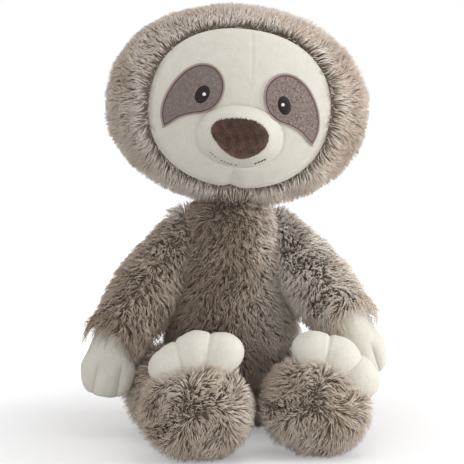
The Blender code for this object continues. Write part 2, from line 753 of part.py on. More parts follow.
for name, side in LEFT_RIGHT:
    # Arm: closed pile sleeve over fill, open where it is sewn to the torso and at the wrist
    arm_relief = relief(
        "arm_relief_" + name, torso_form, neck_frame, TORSO_POINTS, shoulders[name], SHOULDER_RADIUS,
        body_y, [side * -share * ARM_LIFT for share in (0.0, 0.5, 1.0)],
    )
    cover_and_fill(
        "arm_" + name, shoulders[name], arm_form(side), LIMB_POINTS, [wrist_sockets[name]], [arm_relief]
    )

    # Hand: one mitten with its fill, pinched along two channels on each face
    hand_mesh = ball_mesh(
        "hand_" + name,
        drawn_ball(
            WRIST_RADIUS, HAND_LENGTH, HAND_HALF_WIDTH, HAND_HALF_THICKNESS, HAND_SWELL_SHARES,
            HAND_END_POWER, 0.0, 0.0, CHANNEL_DEPTH_SHARE,
        ),
        HAND_POINTS,
    )
    hand = new_object("hand_" + name, hand_mesh, wrists[name], toy, smooth_cloth)
    wrist_axis = wrists[name].matrix_world.to_3x3() @ Vector((0.0, 1.0, 0.0))
    hand_relief = relief(
        "hand_relief_" + name, arm_form(side), shoulders[name], LIMB_POINTS, wrists[name], WRIST_RADIUS,
        wrist_axis, [-side * share * HAND_BEND for share in (0.0, 0.5, 1.0)],
    )
    cut(hand, hand_relief, solver="MANIFOLD")

    # Leg: pile cover over fill, open at the ankle
    leg_relief = relief(
        "leg_relief_" + name, torso_form, neck_frame, TORSO_POINTS, hips[name], HIP_RADIUS,
        body_x, [-share * LEG_LIFT[name] for share in (0.0, 0.5, 1.0)],
    )
    foot_relief = relief(
        "foot_relief_" + name, foot_form, feet[name], FOOT_POINTS, ankles[name], ANKLE_RADIUS,
        toy_y, [share * FOOT_TWIST for share in (0.0, -1.0, 1.0)],
    )
    ankle_mouth = ball_cutter(
        "ankle_mouth_" + name, ankles[name], (0.0, 0.0, -ANKLE_RADIUS), ANKLE_RADIUS / 2
    )
    cover_and_fill(
        "leg_" + name, hips[name], leg_form, LIMB_POINTS, [floor_cutter], [leg_relief, foot_relief],
        ankle_mouth,
    )

    # Foot: pile cover over fill, and three smooth toes in one piece along its upper edge
    cover_and_fill("foot_" + name, feet[name], foot_form, FOOT_POINTS, [ankle_sockets[name], floor_cutter])
    toes = None
    for number, (turn, reach) in enumerate(zip(TOE_TURNS[name], TOE_REACHES[name])):
        toe_mesh = ball_mesh(
            f"toes_{name}_{number}",
            plump(TOE_HALF_WIDTH, TOE_HALF_DEPTH, TOE_HALF_LENGTH, TOE_FULLNESS, 0.0),
            TOE_POINTS,
        )
        lean = Matrix.Rotation(turn, 4, "Y")
        own_turn = Matrix.Rotation(number * TOE_OWN_TURN, 4, "Z")
        toe_mesh.transform(lean @ Matrix.Translation((0.0, TOE_BACK, reach)) @ own_turn)
        if toes is None:
            toes = new_object("toes_" + name, toe_mesh, feet[name], toy, smooth_cloth)
        else:
            other = new_object(f"toe_cutter_{name}_{number}", toe_mesh, feet[name], cutters)
            cut(toes, other, "UNION")
    seat_mesh = ball_mesh("toe_seat", foot_form(-SEAM_GAP), FOOT_POINTS)
    foot_seat = new_object("toe_seat_cutter_" + name, seat_mesh, feet[name], cutters)
    cut(toes, foot_seat)
    cut(toes, ankle_sockets[name])

# The origin goes under the middle of the whole toy's box
bpy.context.view_layer.update()
evaluated = bpy.context.evaluated_depsgraph_get()
corners = []
for piece in toy.objects:
    if piece.type == "MESH":
        shown = piece.evaluated_get(evaluated)
        corners.extend(shown.matrix_world @ vert.co for vert in shown.data.vertices)
for axis in range(2):
    reached = [corner[axis] for corner in corners]
    toy_frame.location[axis] = -(min(reached) + max(reached)) / 2
bpy.context.view_layer.update()
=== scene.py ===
"""Plush sloth, sitting, as it is sewn together. Metres, +Z up, the toy faces -Y."""

import json
import math

import bpy
import numpy as np
from mathutils import Matrix, Vector


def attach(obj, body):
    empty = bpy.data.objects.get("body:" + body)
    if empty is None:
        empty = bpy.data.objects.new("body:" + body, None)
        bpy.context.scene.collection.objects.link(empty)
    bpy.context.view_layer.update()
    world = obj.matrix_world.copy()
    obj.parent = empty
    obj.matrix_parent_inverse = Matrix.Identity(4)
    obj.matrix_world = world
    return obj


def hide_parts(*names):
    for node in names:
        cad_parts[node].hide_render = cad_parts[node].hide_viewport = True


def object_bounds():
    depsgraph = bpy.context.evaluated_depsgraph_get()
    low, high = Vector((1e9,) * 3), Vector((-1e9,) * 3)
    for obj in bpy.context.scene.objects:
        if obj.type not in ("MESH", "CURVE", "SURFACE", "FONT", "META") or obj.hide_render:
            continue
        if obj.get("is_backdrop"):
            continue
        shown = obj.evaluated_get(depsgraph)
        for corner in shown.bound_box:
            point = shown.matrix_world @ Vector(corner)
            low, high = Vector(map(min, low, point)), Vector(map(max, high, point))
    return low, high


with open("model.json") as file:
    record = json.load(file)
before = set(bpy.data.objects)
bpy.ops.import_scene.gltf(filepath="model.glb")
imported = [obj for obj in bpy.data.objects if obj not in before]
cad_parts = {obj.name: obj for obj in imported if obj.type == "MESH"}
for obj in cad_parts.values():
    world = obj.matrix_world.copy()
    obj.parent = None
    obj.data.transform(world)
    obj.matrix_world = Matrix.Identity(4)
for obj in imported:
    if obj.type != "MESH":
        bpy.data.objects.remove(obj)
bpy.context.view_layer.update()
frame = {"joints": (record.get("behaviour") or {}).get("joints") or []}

# The photograph's view
# A long lens, level with the top of the head, points a little down. The room is white, the key light stands
# low at the right with weak fill in front and above, and a narrow lamp near the floor spares the head.
PHOTO_SIDE = 464
FOCAL_PIXELS = 2000
SENSOR = 36.0
CAMERA_FROM_TOY = (-0.0026, -1.287, 0.3076)
CAMERA_DOWN = math.radians(8)
SOFTBOX_AIM = (0.0, 0.0, 0.14)
# Name, place, side and watts
SOFTBOXES = (
    ("key", (1.35, -0.15, 0.35), 0.45, 9.0),
    ("fill", (-0.2, -1.3, 0.25), 0.8, 3.5),
    ("top", (0.25, -0.1, 1.35), 0.8, 4.0),
)
LOW_PLACE = (1.0, -0.6, 0.05)
LOW_AIM = (0.03, -0.02, 0.065)
LOW_WATTS = 11.0
LOW_RADIUS = 0.08
LOW_CONE = math.radians(12)
LOW_BLEND = 0.5
AMBIENT = 0.70
FLOOR_SIDE = 6.0
FLOOR_GLOW = (0.28, 0.85)
FLOOR_GLOW_REACH = (0.10, 0.45)
NECK_TO_LEFT = 0.004
TORSO_FORWARD = 0.006
BODY_TURN = math.radians(10)
joints = {joint["name"]: joint for joint in frame["joints"]}


def spot(joint):
    """Where a joint lies, as an array."""
    return np.array(joints[joint]["pos_m"], float)


def turned(axis, angle):
    """The rotation by an angle about an axis, as a 3 by 3 array."""
    return np.array(Matrix.Rotation(angle, 3, Vector(axis)), float)


def linear(hex_colour):
    """An sRGB hex colour as linear red, green, blue and alpha."""
    parts = np.array([int(hex_colour[at : at + 2], 16) / 255 for at in (1, 3, 5)])
    low = parts / 12.92
    high = ((parts + 0.055) / 1.055) ** 2.4
    return (*np.where(parts <= 0.04045, low, high), 1.0)


def add_node(tree, kind, settings=None, values=None, links=None, stops=()):
    """Adds a node. Settings are its properties, values fill its inputs and stops are a ramp's.

    Links join outputs to its inputs, and where a link names a node, that node's first output is meant.
    """
    node = tree.nodes.new("ShaderNode" + kind)
    for name, value in (settings or {}).items():
        setattr(node, name, value)
    for name, value in (values or {}).items():
        node.inputs[name].default_value = value
    for name, giver in (links or {}).items():
        output = giver if isinstance(giver, bpy.types.NodeSocket) else giver.outputs[0]
        tree.links.new(output, node.inputs[name])
    if stops:
        ramp = node.color_ramp.elements
        ramp.remove(ramp[-1])
        ramp[0].position, ramp[0].color = stops[0][0], linear(stops[0][1])
        for position, colour in stops[1:]:
            ramp.new(position).color = linear(colour)
    return node


def new_finish(name):
    """An empty node material and its tree."""
    finish = bpy.data.materials.new(name)
    finish.use_nodes = True
    finish.node_tree.nodes.clear()
    return finish, finish.node_tree


def shown_rays(tree):
    """1 for rays by which the surface or sky is seen: from the camera, in a gloss or through something."""
    rays = add_node(tree, "LightPath")
    seen = add_node(tree, "Math", {"operation": "MAXIMUM"},
                    links={0: rays.outputs["Is Camera Ray"], 1: rays.outputs["Is Glossy Ray"]})
    return add_node(tree, "Math", {"operation": "MAXIMUM"},
                    links={0: seen, 1: rays.outputs["Is Transmission Ray"]})


body_turn = turned((0, 0, 1), BODY_TURN)
neck = spot("head_turn")
body_place = neck * (1, 1, 0) + body_turn @ np.array([NECK_TO_LEFT, 0.0, 0.0])
toy_place = body_place + np.array([0.0, TORSO_FORWARD, 0.0])

camera = bpy.data.objects.new("camera", bpy.data.cameras.new("camera"))
bpy.context.scene.collection.objects.link(camera)
camera.data.sensor_width = SENSOR
camera.data.lens = FOCAL_PIXELS * SENSOR / PHOTO_SIDE
camera.location = toy_place + CAMERA_FROM_TOY
camera.rotation_euler = (math.pi / 2 - CAMERA_DOWN, 0.0, 0.0)
bpy.context.scene.camera = camera
bpy.context.scene.view_settings.view_transform = "Standard"

world = bpy.data.worlds.new("studio")
bpy.context.scene.world = world
world.use_nodes = True
tree = world.node_tree
tree.nodes.clear()
strength = add_node(tree, "MapRange", values={"To Min": AMBIENT, "To Max": 1.0},
                    links={"Value": shown_rays(tree)})
sky = add_node(tree, "Background", values={"Color": (1.0, 1.0, 1.0, 1.0)}, links={"Strength": strength})
add_node(tree, "OutputWorld", links={"Surface": sky})


def hang_lamp(name, kind, place, aim, watts):
    """A lamp at a place, pointed at its aim."""
    lamp = bpy.data.lights.new(name, kind)
    lamp.energy = watts
    holder = bpy.data.objects.new(name, lamp)
    bpy.context.scene.collection.objects.link(holder)
    holder.location = place
    holder.rotation_euler = (Vector(aim) - Vector(place)).to_track_quat("-Z", "Y").to_euler()
    return lamp


for name, place, size, watts in SOFTBOXES:
    hang_lamp(name, "AREA", place, SOFTBOX_AIM, watts).size = size
low_lamp = hang_lamp("low", "SPOT", LOW_PLACE, LOW_AIM, LOW_WATTS)
low_lamp.shadow_soft_size = LOW_RADIUS
low_lamp.spot_size, low_lamp.spot_blend = LOW_CONE, LOW_BLEND

floor_mesh = bpy.data.meshes.new("floor")
half = FLOOR_SIDE / 2
corners = [(-half, -half, 0), (half, -half, 0), (half, half, 0), (-half, half, 0)]
floor_mesh.from_pydata(corners, [], [(0, 1, 2, 3)])
floor = bpy.data.objects.new("floor", floor_mesh)
bpy.context.scene.collection.objects.link(floor)
# Painted sweep: matt and pale, and for the camera it glows white away from the toy, as painted light standing
# for lamps of its own
sweep, tree = new_finish("painted_sweep")
place = add_node(tree, "TexCoord")
away = add_node(tree, "VectorMath", {"operation": "LENGTH"}, links={0: place.outputs["Object"]})
lit = add_node(
    tree, "MapRange", {"interpolation_type": "SMOOTHSTEP"},
    dict(zip(("From Min", "From Max", "To Min", "To Max"), FLOOR_GLOW_REACH + FLOOR_GLOW)),
    {"Value": away.outputs["Value"]},
)
glow = add_node(tree, "Math", {"operation": "MULTIPLY"}, links={0: shown_rays(tree), 1: lit})
paint = add_node(tree, "BsdfDiffuse", values={"Color": linear("#dcdbdb")})
shine = add_node(tree, "Emission", links={"Strength": glow})
both = add_node(tree, "AddShader", links={0: paint, 1: shine})
add_node(tree, "OutputMaterial", links={"Surface": both})
floor_mesh.materials.append(sweep)
floor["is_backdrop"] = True

# Torso
# A stuffed bag of long-pile plush, pear-shaped, gathered in at the neck and sewn shut at the back.
# This is its knitted backing; the pile that hides it is rooted in it, and comes further down.
PILE_DEPTH = 0.0070
NECK_RADIUS = 0.0325
BELLY_HALF_WIDTH = 0.0488
BELLY_HALF_DEPTH = 0.043
TORSO_END_POWER = 0.42
TORSO_SWELL = ((0.0, 0.0), (0.12, 0.32), (0.3, 0.62), (0.5, 0.92), (0.62, 1.0), (0.85, 0.9), (1.0, 0.72))
TORSO_GRID = (96, 64)
FLOOR_CUT = 0.0005
BACKING_ROW = 0.0012
LOWEST = 0.0004


def outward(points, faces):
    """The triangles, turned over if the closed form they make has its inside out."""
    a, b, c = (points[faces[:, corner]] for corner in range(3))
    return faces if (a * np.cross(b, c)).sum() > 0 else faces[:, ::-1]


def ring_form(first, rings, last):
    """Points and triangles of a closed form: a point, rows of points that close on themselves, and a point."""
    rows, columns = rings.shape[:2]
    points = np.concatenate([[first], rings.reshape(-1, 3), [last]])
    at = 1 + np.arange(rows * columns).reshape(rows, columns)
    after = np.roll(at, -1, axis=1)
    quads = np.stack([at[:-1], at[1:], after[1:], after[:-1]], axis=-1).reshape(-1, 4)
    start = np.stack([np.zeros(columns, int), at[0], after[0]], axis=-1)
    end = np.stack([np.full(columns, len(points) - 1), after[-1], at[-1]], axis=-1)
    return points, outward(points, np.concatenate([quads[:, [0, 1, 2]], quads[:, [0, 2, 3]], start, end]))


def full_turn(steps):
    """Even angles once round."""
    return 2 * np.pi * np.arange(steps) / steps


def unit_ball(columns, rows):
    """Points of a ball of radius one, from its top to its bottom, and its triangles."""
    polar, turn = np.meshgrid(np.pi * np.arange(1, rows) / rows, full_turn(columns), indexing="ij")
    rings = np.stack([np.sin(polar) * np.cos(turn), np.sin(polar) * np.sin(turn), np.cos(polar)], axis=-1)
    return ring_form((0.0, 0.0, 1.0), rings, (0.0, 0.0, -1.0))


def girths(along, root, half_width, half_depth, swell, inset):
    """Half the width and half the depth at these shares of the length, by the swell from the root's radius."""
    share = np.interp(along, *np.array(swell).T)
    return root + (half_width - root) * share - inset, root + (half_depth - root) * share - inset


def drawn_ball(unit, root, length, half_width, half_depth, swell, end_power, bend=0.0, inset=0.0):
    """A ball whose lower half is drawn out along -Z to a blunt end, as a stuffed limb swells from its seam.

    Below the middle, x is bend s squared + w a c and y is d b c. Here s is the share of the length, w and d
    are the girth there by the swell, a and b are the direction round, and c is the level to the end power.
    """
    along = np.clip(-unit[:, 2], 0.0, 1.0)
    wide, deep = girths(along, root, half_width, half_depth, swell, inset)
    level = np.hypot(unit[:, 0], unit[:, 1])
    around = unit[:, :2] / np.maximum(level, 1e-9)[:, None]
    blunt = level**end_power
    low_x = bend * along**2 + wide * around[:, 0] * blunt
    low = np.stack([low_x, deep * around[:, 1] * blunt, -(length - inset) * along], axis=1)
    return np.where(unit[:, 2:] >= 0, unit * (root - inset), low)


def within_drawn(points, root, length, half_width, half_depth, swell, end_power, bend=0.0, inset=0.0):
    """Which points lie inside a drawn ball."""
    along = np.clip(-points[:, 2] / (length - inset), 0.0, 1.0)
    wide, deep = girths(along, root, half_width, half_depth, swell, inset)
    level = np.sqrt(1 - along**2)
    off = ((points[:, 0] - bend * along**2) / wide) ** 2 + (points[:, 1] / deep) ** 2
    low = (off < level ** (2 * end_power)) & (points[:, 2] > inset - length)
    high = np.linalg.norm(points, axis=1) < root - inset
    return np.where(points[:, 2] >= 0, high, low)


def placed(points, turn, origin):
    """Points of a piece's own frame, put in the toy's frame."""
    return points @ turn.T + origin


def unplaced(points, turn, origin):
    """Points of the toy's frame, as seen from a piece's own frame."""
    return (points - origin) @ turn


def own_form(within, shape, turn, origin):
    """A piece's own frame, and what tells which points of the toy's frame lie inside the piece."""
    return dict(
        turn=turn, origin=origin,
        within=lambda world, inset: within(unplaced(world, turn, origin), **shape, inset=inset),
    )


def new_piece(name, points, faces, finish):
    """A piece at the origin with these points and triangles, shaded smooth."""
    mesh = bpy.data.meshes.new(name)
    mesh.vertices.add(len(points))
    mesh.vertices.foreach_set("co", np.ascontiguousarray(points, np.float32).ravel())
    mesh.loops.add(faces.size)
    mesh.loops.foreach_set("vertex_index", np.ascontiguousarray(faces, np.int32).ravel())
    mesh.polygons.add(len(faces))
    mesh.polygons.foreach_set("loop_start", np.arange(0, faces.size, 3, dtype=np.int32))
    mesh.update(calc_edges=True)
    mesh.shade_smooth()
    mesh.materials.append(finish)
    piece = bpy.data.objects.new(name, mesh)
    bpy.context.scene.collection.objects.link(piece)
    return piece


def cloth_surface(tree, colour, values, height=None, rise=()):
    """The last nodes of a cloth's finish: its colour, and what raises it, with the strength and reach."""
    links = {"Base Color": colour}
    if height:
        links["Normal"] = add_node(tree, "Bump", values=dict(zip(("Strength", "Distance"), rise)),
                                   links={"Height": height})
    cloth = add_node(tree, "BsdfPrincipled", values=values, links=links)
    add_node(tree, "OutputMaterial", links={"Surface": cloth})


def mottled(name, pitch, dyes, values, rise=()):
    """A cloth or thread that varies between its dyes, grain by grain, and may be raised by the same grain."""
    finish, tree = new_finish(name)
    place = add_node(tree, "TexCoord")
    grain = add_node(tree, "TexNoise", values={"Scale": 1 / pitch, "Detail": 2.0},
                     links={"Vector": place.outputs["Object"]})
    dye = add_node(tree, "ValToRGB", links={"Fac": grain}, stops=dyes)
    cloth_surface(tree, dye, values, grain if rise else None, rise)
    return finish


# Knitted polyester: a matt brown cloth mottled by its rows, whose darkness, like the pile's darker roots, is
# partly painted shade between the fibres
backing = mottled(
    "knitted_polyester_backing", BACKING_ROW, ((0.3, "#64574b"), (0.7, "#887969")),
    {"Roughness": 0.95}, (0.4, 0.0005),
)

torso_shape = dict(
    root=NECK_RADIUS, length=neck[2] + FLOOR_CUT, half_width=BELLY_HALF_WIDTH, half_depth=BELLY_HALF_DEPTH,
    swell=TORSO_SWELL, end_power=TORSO_END_POWER, bend=NECK_TO_LEFT,
)
covers = {}


def sew_cover(name, form, within, shape, turn, origin, grid):
    """The backing of one stuffed cover, and what the pile that grows on it needs to know."""
    unit, faces = unit_ball(*grid)
    points = placed(form(unit, **shape, inset=PILE_DEPTH), turn, origin)
    points[:, 2] = np.maximum(points[:, 2], LOWEST)
    piece = new_piece(name + "_backing", points, faces, backing)
    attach(piece, name)
    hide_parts(name + "_cover", name + "_stuffing")
    covers[name] = dict(points=points, faces=faces, **own_form(within, shape, turn, origin))


sew_cover("torso", drawn_ball, within_drawn, torso_shape, body_turn, neck, TORSO_GRID)

# Neck
# The turned-in edges of the two covers, gathered on a thread between the torso and the head.
# They lie as two loose rings, so the head turns, nods and tilts on the torso's dome.
RING_FROM = math.radians(16)
RING_TO = math.radians(45)
RING_THICKNESS = 0.0014
RING_GAP = 0.0009
RING_STEPS = (14, 216)
GATHERS = 36
GATHER_DEPTH = 0.00035


def loop_faces(rows, columns):
    """Triangles of a grid of points that closes on itself both ways, as on a ring."""
    at = np.arange(rows * columns).reshape(rows, columns)
    beside, below = np.roll(at, -1, axis=1), np.roll(at, -1, axis=0)
    across = np.roll(below, -1, axis=1)
    quads = np.stack([at, below, across, beside], axis=-1).reshape(-1, 4)
    return np.concatenate([quads[:, [0, 1, 2]], quads[:, [0, 2, 3]]])


def neck_ring(name, body, inner):
    """A band round a ball about the neck, rippled by gathers. Its profile runs down outside and up inside."""
    half = RING_STEPS[0] // 2
    down = np.linspace(RING_FROM, RING_TO, half)
    polar = np.concatenate([down, down[::-1]])[:, None]
    outside = np.repeat([1.0, 0.0], half)[:, None]
    turn = full_turn(RING_STEPS[1])[None]
    radius = inner + outside * (RING_THICKNESS - GATHER_DEPTH * (1 - np.cos(GATHERS * turn)) / 2)
    level = radius * np.sin(polar)
    rings = np.stack([level * np.cos(turn), level * np.sin(turn), radius * np.cos(polar)], axis=-1)
    points = rings.reshape(-1, 3) + neck
    ring = new_piece(name + "_gathers", points, outward(points, loop_faces(*RING_STEPS)), backing)
    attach(ring, body)
    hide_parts(name)


neck_ring("neck_seam_lower", "neck_lower", NECK_RADIUS + RING_GAP)
neck_ring("neck_seam_upper", "neck_upper", NECK_RADIUS + RING_THICKNESS + 2 * RING_GAP)

# Arms
# Two stuffed sleeves of the same plush, sewn into the torso's sides and blunt at the cuff.
# Each is a ball at the shoulder, drawn out along the arm and bent a little outwards.
SHOULDER_RADIUS = 0.020
ARM_LENGTH = 0.094
ARM_HALF_WIDTH = 0.0248
ARM_BEND = 0.008
ARM_END_POWER = 0.3
ARM_SWELL = ((0.0, 0.0), (0.3, 0.6), (0.6, 1.0), (1.0, 0.95))
ARM_GRID = (64, 56)
ARM_OUT = {"left": math.radians(42.7), "right": math.radians(28.5)}
ARM_FORWARD = {"left": math.radians(20), "right": math.radians(52)}
SIDES = {"left": -1, "right": 1}
arm_turns = {}
for side, sign in SIDES.items():
    forward, out = turned((1, 0, 0), -ARM_FORWARD[side]), turned((0, 1, 0), -sign * ARM_OUT[side])
    arm_turns[side] = body_turn @ forward @ out
    arm_shape = dict(
        root=SHOULDER_RADIUS, length=ARM_LENGTH, half_width=ARM_HALF_WIDTH, half_depth=ARM_HALF_WIDTH,
        swell=ARM_SWELL, end_power=ARM_END_POWER, bend=-sign * ARM_BEND,
    )
    shoulder = spot(f"arm_{side}_raise")
    sew_cover("arm_" + side, drawn_ball, within_drawn, arm_shape, arm_turns[side], shoulder, ARM_GRID)

# Legs
# Two stuffed tubes of plush that lie on the floor, from a wide round hip to a narrower ankle.
HIP_RADIUS = 0.0285
LEG_LENGTH = 0.062
ANKLE_RADIUS = 0.0195
LEG_INWARD = math.radians(7)
LEG_RISE = math.radians(5)
LEG_GRID = (56, 48)


def tapered_tube(unit, root, length, end_radius, inset=0.0):
    """A ball at the origin, a smaller one at the end along -Z, and a straight taper between them."""
    below = np.arccos(np.clip(unit[:, 2], -1.0, 1.0)) - np.pi / 2
    level = np.hypot(unit[:, 0], unit[:, 1])
    around = unit[:, :2] / np.maximum(level, 1e-9)[:, None]
    tube = np.clip(below / (np.pi / 4), 0.0, 1.0)
    radius = root + (end_radius - root) * tube - inset
    cap = np.maximum(0.0, 2 * (below - np.pi / 4))
    low = np.column_stack([around * (radius * np.cos(cap))[:, None], -length * tube - radius * np.sin(cap)])
    return np.where(unit[:, 2:] >= 0, unit * (root - inset), low)


def within_tube(points, root, length, end_radius, inset=0.0):
    """Which points lie inside a tapered tube."""
    along = np.clip(-points[:, 2] / length, 0.0, 1.0)
    off = points + np.outer(along, (0.0, 0.0, length))
    return np.linalg.norm(off, axis=1) < root + (end_radius - root) * along - inset


leg_turns = {}
leg_shape = dict(root=HIP_RADIUS, length=LEG_LENGTH, end_radius=ANKLE_RADIUS)
for side, sign in SIDES.items():
    inward = turned((0, 0, 1), -sign * LEG_INWARD)
    leg_turns[side] = body_turn @ inward @ turned((1, 0, 0), -(math.pi / 2 + LEG_RISE))
    hip = spot(f"leg_{side}_lift")
    sew_cover("leg_" + side, tapered_tube, within_tube, leg_shape, leg_turns[side], hip, LEG_GRID)

# Feet
# Round pads of plush, sewn to the ankles, that stand on their edges with the soles forward.
FOOT_HALF_WIDTH = 0.0362
FOOT_HALF_HEIGHT = 0.0315
FOOT_HALF_DEPTH = 0.022
FOOT_FORWARD = 0.016
FOOT_FULLNESS = 2.2
FOOT_ROLL = {"left": math.radians(-3), "right": math.radians(23)}
FOOT_GRID = (64, 48)


def plump(unit, sizes, fullness, inset=0.0):
    """A ball with three half sizes, squarer as it is fuller: each direction over its norm, times the sizes."""
    norm = (np.abs(unit) ** fullness).sum(axis=-1, keepdims=True) ** (1 / fullness)
    return unit / norm * (np.array(sizes) - inset)


def within_plump(points, sizes, fullness, inset=0.0):
    """Which points lie inside a plump form."""
    return (np.abs(points / (np.array(sizes) - inset)) ** fullness).sum(axis=1) < 1


foot_turns = {}
foot_places = {}
foot_shape = dict(sizes=(FOOT_HALF_WIDTH, FOOT_HALF_DEPTH, FOOT_HALF_HEIGHT), fullness=FOOT_FULLNESS)
for side in SIDES:
    ankle = spot(f"foot_{side}_twist")
    foot_turns[side] = turned((0, 1, 0), FOOT_ROLL[side])
    foot_places[side] = np.array([ankle[0], ankle[1] - FOOT_FORWARD, FOOT_HALF_HEIGHT - FLOOR_CUT])
    sew_cover("foot_" + side, plump, within_plump, foot_shape, foot_turns[side], foot_places[side], FOOT_GRID)

# Toes
# Each foot has three stuffed toes of short cream plush, made as one piece and drawn in by two sewn channels.
# The row lies along the sole's upper edge, behind it, and swells between the channels.
TOE_BACK = 0.005
TOE_HALF_WIDTH = 0.0125
TOE_HALF_LENGTH = 0.0158
TOE_HALF_DEPTH = 0.0120
TOE_FULLNESS = 2.2
TOE_REACHES = {"left": (0.0270, 0.0325, 0.0350), "right": (0.0300, 0.0295, 0.0275)}
TOE_TURNS = {"left": (-29.0, 0.0, 27.0), "right": (-26.0, 3.0, 36.0)}
TOE_JOIN = 5.0
TOE_CHANNEL_WIDTH = math.radians(1.6)
TOE_CHANNEL_DEPTH = 0.08
TOE_GRID = (180, 96)
NAP_GRAIN = 0.0007
NAP_DRIFT = 0.006
DRIFT_SHARE = 0.5

# Short velour plush: matt and soft, with a pale sheen at grazing angles and a nap that shades in small drifts
cream_velour, tree = new_finish("cream_velour_plush")
place = add_node(tree, "TexCoord")
drift, grain = (
    add_node(tree, "TexNoise", values={"Scale": 1 / pitch, "Detail": detail},
             links={"Vector": place.outputs["Object"]})
    for pitch, detail in ((NAP_DRIFT, 3.0), (NAP_GRAIN, 2.0))
)
shaded = add_node(tree, "Math", {"operation": "MULTIPLY_ADD"}, {1: DRIFT_SHARE}, {0: drift, 2: grain})
dye = add_node(tree, "ValToRGB", links={"Fac": shaded}, stops=((0.45, "#c8c4b8"), (1.0, "#dad6cb")))
cloth_surface(
    tree, dye, {"Roughness": 0.9, "Specular IOR Level": 0.2, "Sheen Weight": 0.15, "Sheen Roughness": 0.5},
    grain, (0.35, 0.0003),
)

smooth_forms = {}


def oval_level(across, up, fullness):
    """0 in the middle of a full oval and 1 on it: the sum of both shares to the fullness, and its root."""
    return (np.abs(across) ** fullness + np.abs(up) ** fullness) ** (1 / fullness)


def within_toes(points, middles, reaches, inset):
    """Which points lie inside one of a foot's toes, each taken as a plump form."""
    inside = np.zeros(len(points), bool)
    for middle, reach in zip(middles, reaches):
        own = points @ turned((0, 1, 0), middle) - (0.0, TOE_BACK, reach)
        inside |= within_plump(own, (TOE_HALF_WIDTH, TOE_HALF_DEPTH, TOE_HALF_LENGTH), TOE_FULLNESS, inset)
    return inside


for side in SIDES:
    reaches = np.array(TOE_REACHES[side])
    middles = np.radians(TOE_TURNS[side])
    spans = np.arctan(TOE_HALF_WIDTH / reaches)
    low, high = middles[0] - spans[0], middles[-1] + spans[-1]
    steps = np.pi * np.arange(1, TOE_GRID[0]) / TOE_GRID[0]
    turn = ((low + high) / 2 - (high - low) / 2 * np.cos(steps))[:, None]
    lobes = np.maximum(0.0, 1 - np.abs((turn - middles) / spans) ** TOE_FULLNESS) ** (TOE_JOIN / TOE_FULLNESS)
    full = lobes.sum(axis=1, keepdims=True) ** (1 / TOE_JOIN)
    for channel in (middles[:-1] + middles[1:]) / 2:
        full = full * (1 - TOE_CHANNEL_DEPTH * np.exp(-(((turn - channel) / TOE_CHANNEL_WIDTH) ** 2)))
    reach = np.interp(turn, middles, reaches)
    around = full_turn(TOE_GRID[1])[None]
    norm = oval_level(np.cos(around), np.sin(around), TOE_FULLNESS)
    out = reach + TOE_HALF_LENGTH * full * np.cos(around) / norm
    back = TOE_BACK + TOE_HALF_DEPTH * full * np.sin(around) / norm
    rings = np.stack([out * np.sin(turn), back, out * np.cos(turn)], axis=-1)
    row_ends = zip((low, high), (reaches[0], reaches[-1]))
    first, last = ((far * math.sin(angle), TOE_BACK, far * math.cos(angle)) for angle, far in row_ends)
    points, faces = ring_form(first, rings, last)
    points = placed(points, foot_turns[side], foot_places[side])
    toes = new_piece("toes_" + side + "_plush", points, faces, cream_velour)
    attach(toes, "foot_" + side)
    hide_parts("toes_" + side)
    lobe_places = dict(middles=middles, reaches=reaches)
    smooth_forms["toes_" + side] = own_form(within_toes, lobe_places, foot_turns[side], foot_places[side])

# Hands
# Flat mittens of short cream plush, lightly stuffed and sewn into the cuffs.
# Two channels sewn through both faces part each mitten into three fingers.
WRIST_RADIUS = 0.0125
HAND_LENGTH = 0.037
HAND_HALF_WIDTH = 0.0198
HAND_HALF_THICKNESS = 0.0105
HAND_END_POWER = 0.5
HAND_SWELL = ((0.0, 0.0), (0.25, 0.35), (0.5, 0.9), (0.8, 1.0), (1.0, 0.9))
HAND_OUT = {"left": math.radians(11), "right": math.radians(18)}
HAND_FORWARD = {"left": math.radians(10), "right": math.radians(4)}
CHANNEL_PLACE = 0.34
CHANNEL_FAN = 0.06
CHANNEL_START = 0.012
CHANNEL_VALLEY = (0.15, 0.17)
CHANNEL_STITCH = (0.03, 0.11)
FINGER_SCALLOP = 0.0006
HAND_GRID = (240, 120)
hand_shape = dict(
    root=WRIST_RADIUS, length=HAND_LENGTH, half_width=HAND_HALF_WIDTH, half_depth=HAND_HALF_THICKNESS,
    swell=HAND_SWELL, end_power=HAND_END_POWER,
)


def smooth_step(values):
    """From 0 to 1, level at both ends: 3 t squared minus 2 t cubed."""
    share = np.clip(values, 0.0, 1.0)
    return share * share * (3 - 2 * share)


for side, sign in SIDES.items():
    unit, faces = unit_ball(*HAND_GRID)
    points = drawn_ball(unit, **hand_shape)
    down = -points[:, 2]
    across = points[:, 0] / HAND_HALF_WIDTH
    drawn_in = np.zeros(len(points))
    for way in (-1, 1):
        off = across - way * (CHANNEL_PLACE + CHANNEL_FAN * down / HAND_LENGTH)
        for width, depth in (CHANNEL_VALLEY, CHANNEL_STITCH):
            drawn_in += depth * np.exp(-((off / width) ** 2))
    points[:, 1] *= 1 - drawn_in * smooth_step((down - CHANNEL_START) / CHANNEL_START)
    points[:, 2] += FINGER_SCALLOP * drawn_in / CHANNEL_VALLEY[1] * smooth_step(2 * down / HAND_LENGTH - 1)
    forward, out = turned((1, 0, 0), -HAND_FORWARD[side]), turned((0, 1, 0), -sign * HAND_OUT[side])
    hand_turn = body_turn @ forward @ out
    wrist = spot(f"hand_{side}_bend")
    hand = new_piece("hand_" + side + "_plush", placed(points, hand_turn, wrist), faces, cream_velour)
    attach(hand, "hand_" + side)
    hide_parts("hand_" + side)
    smooth_forms["hand_" + side] = own_form(within_drawn, hand_shape, hand_turn, wrist)

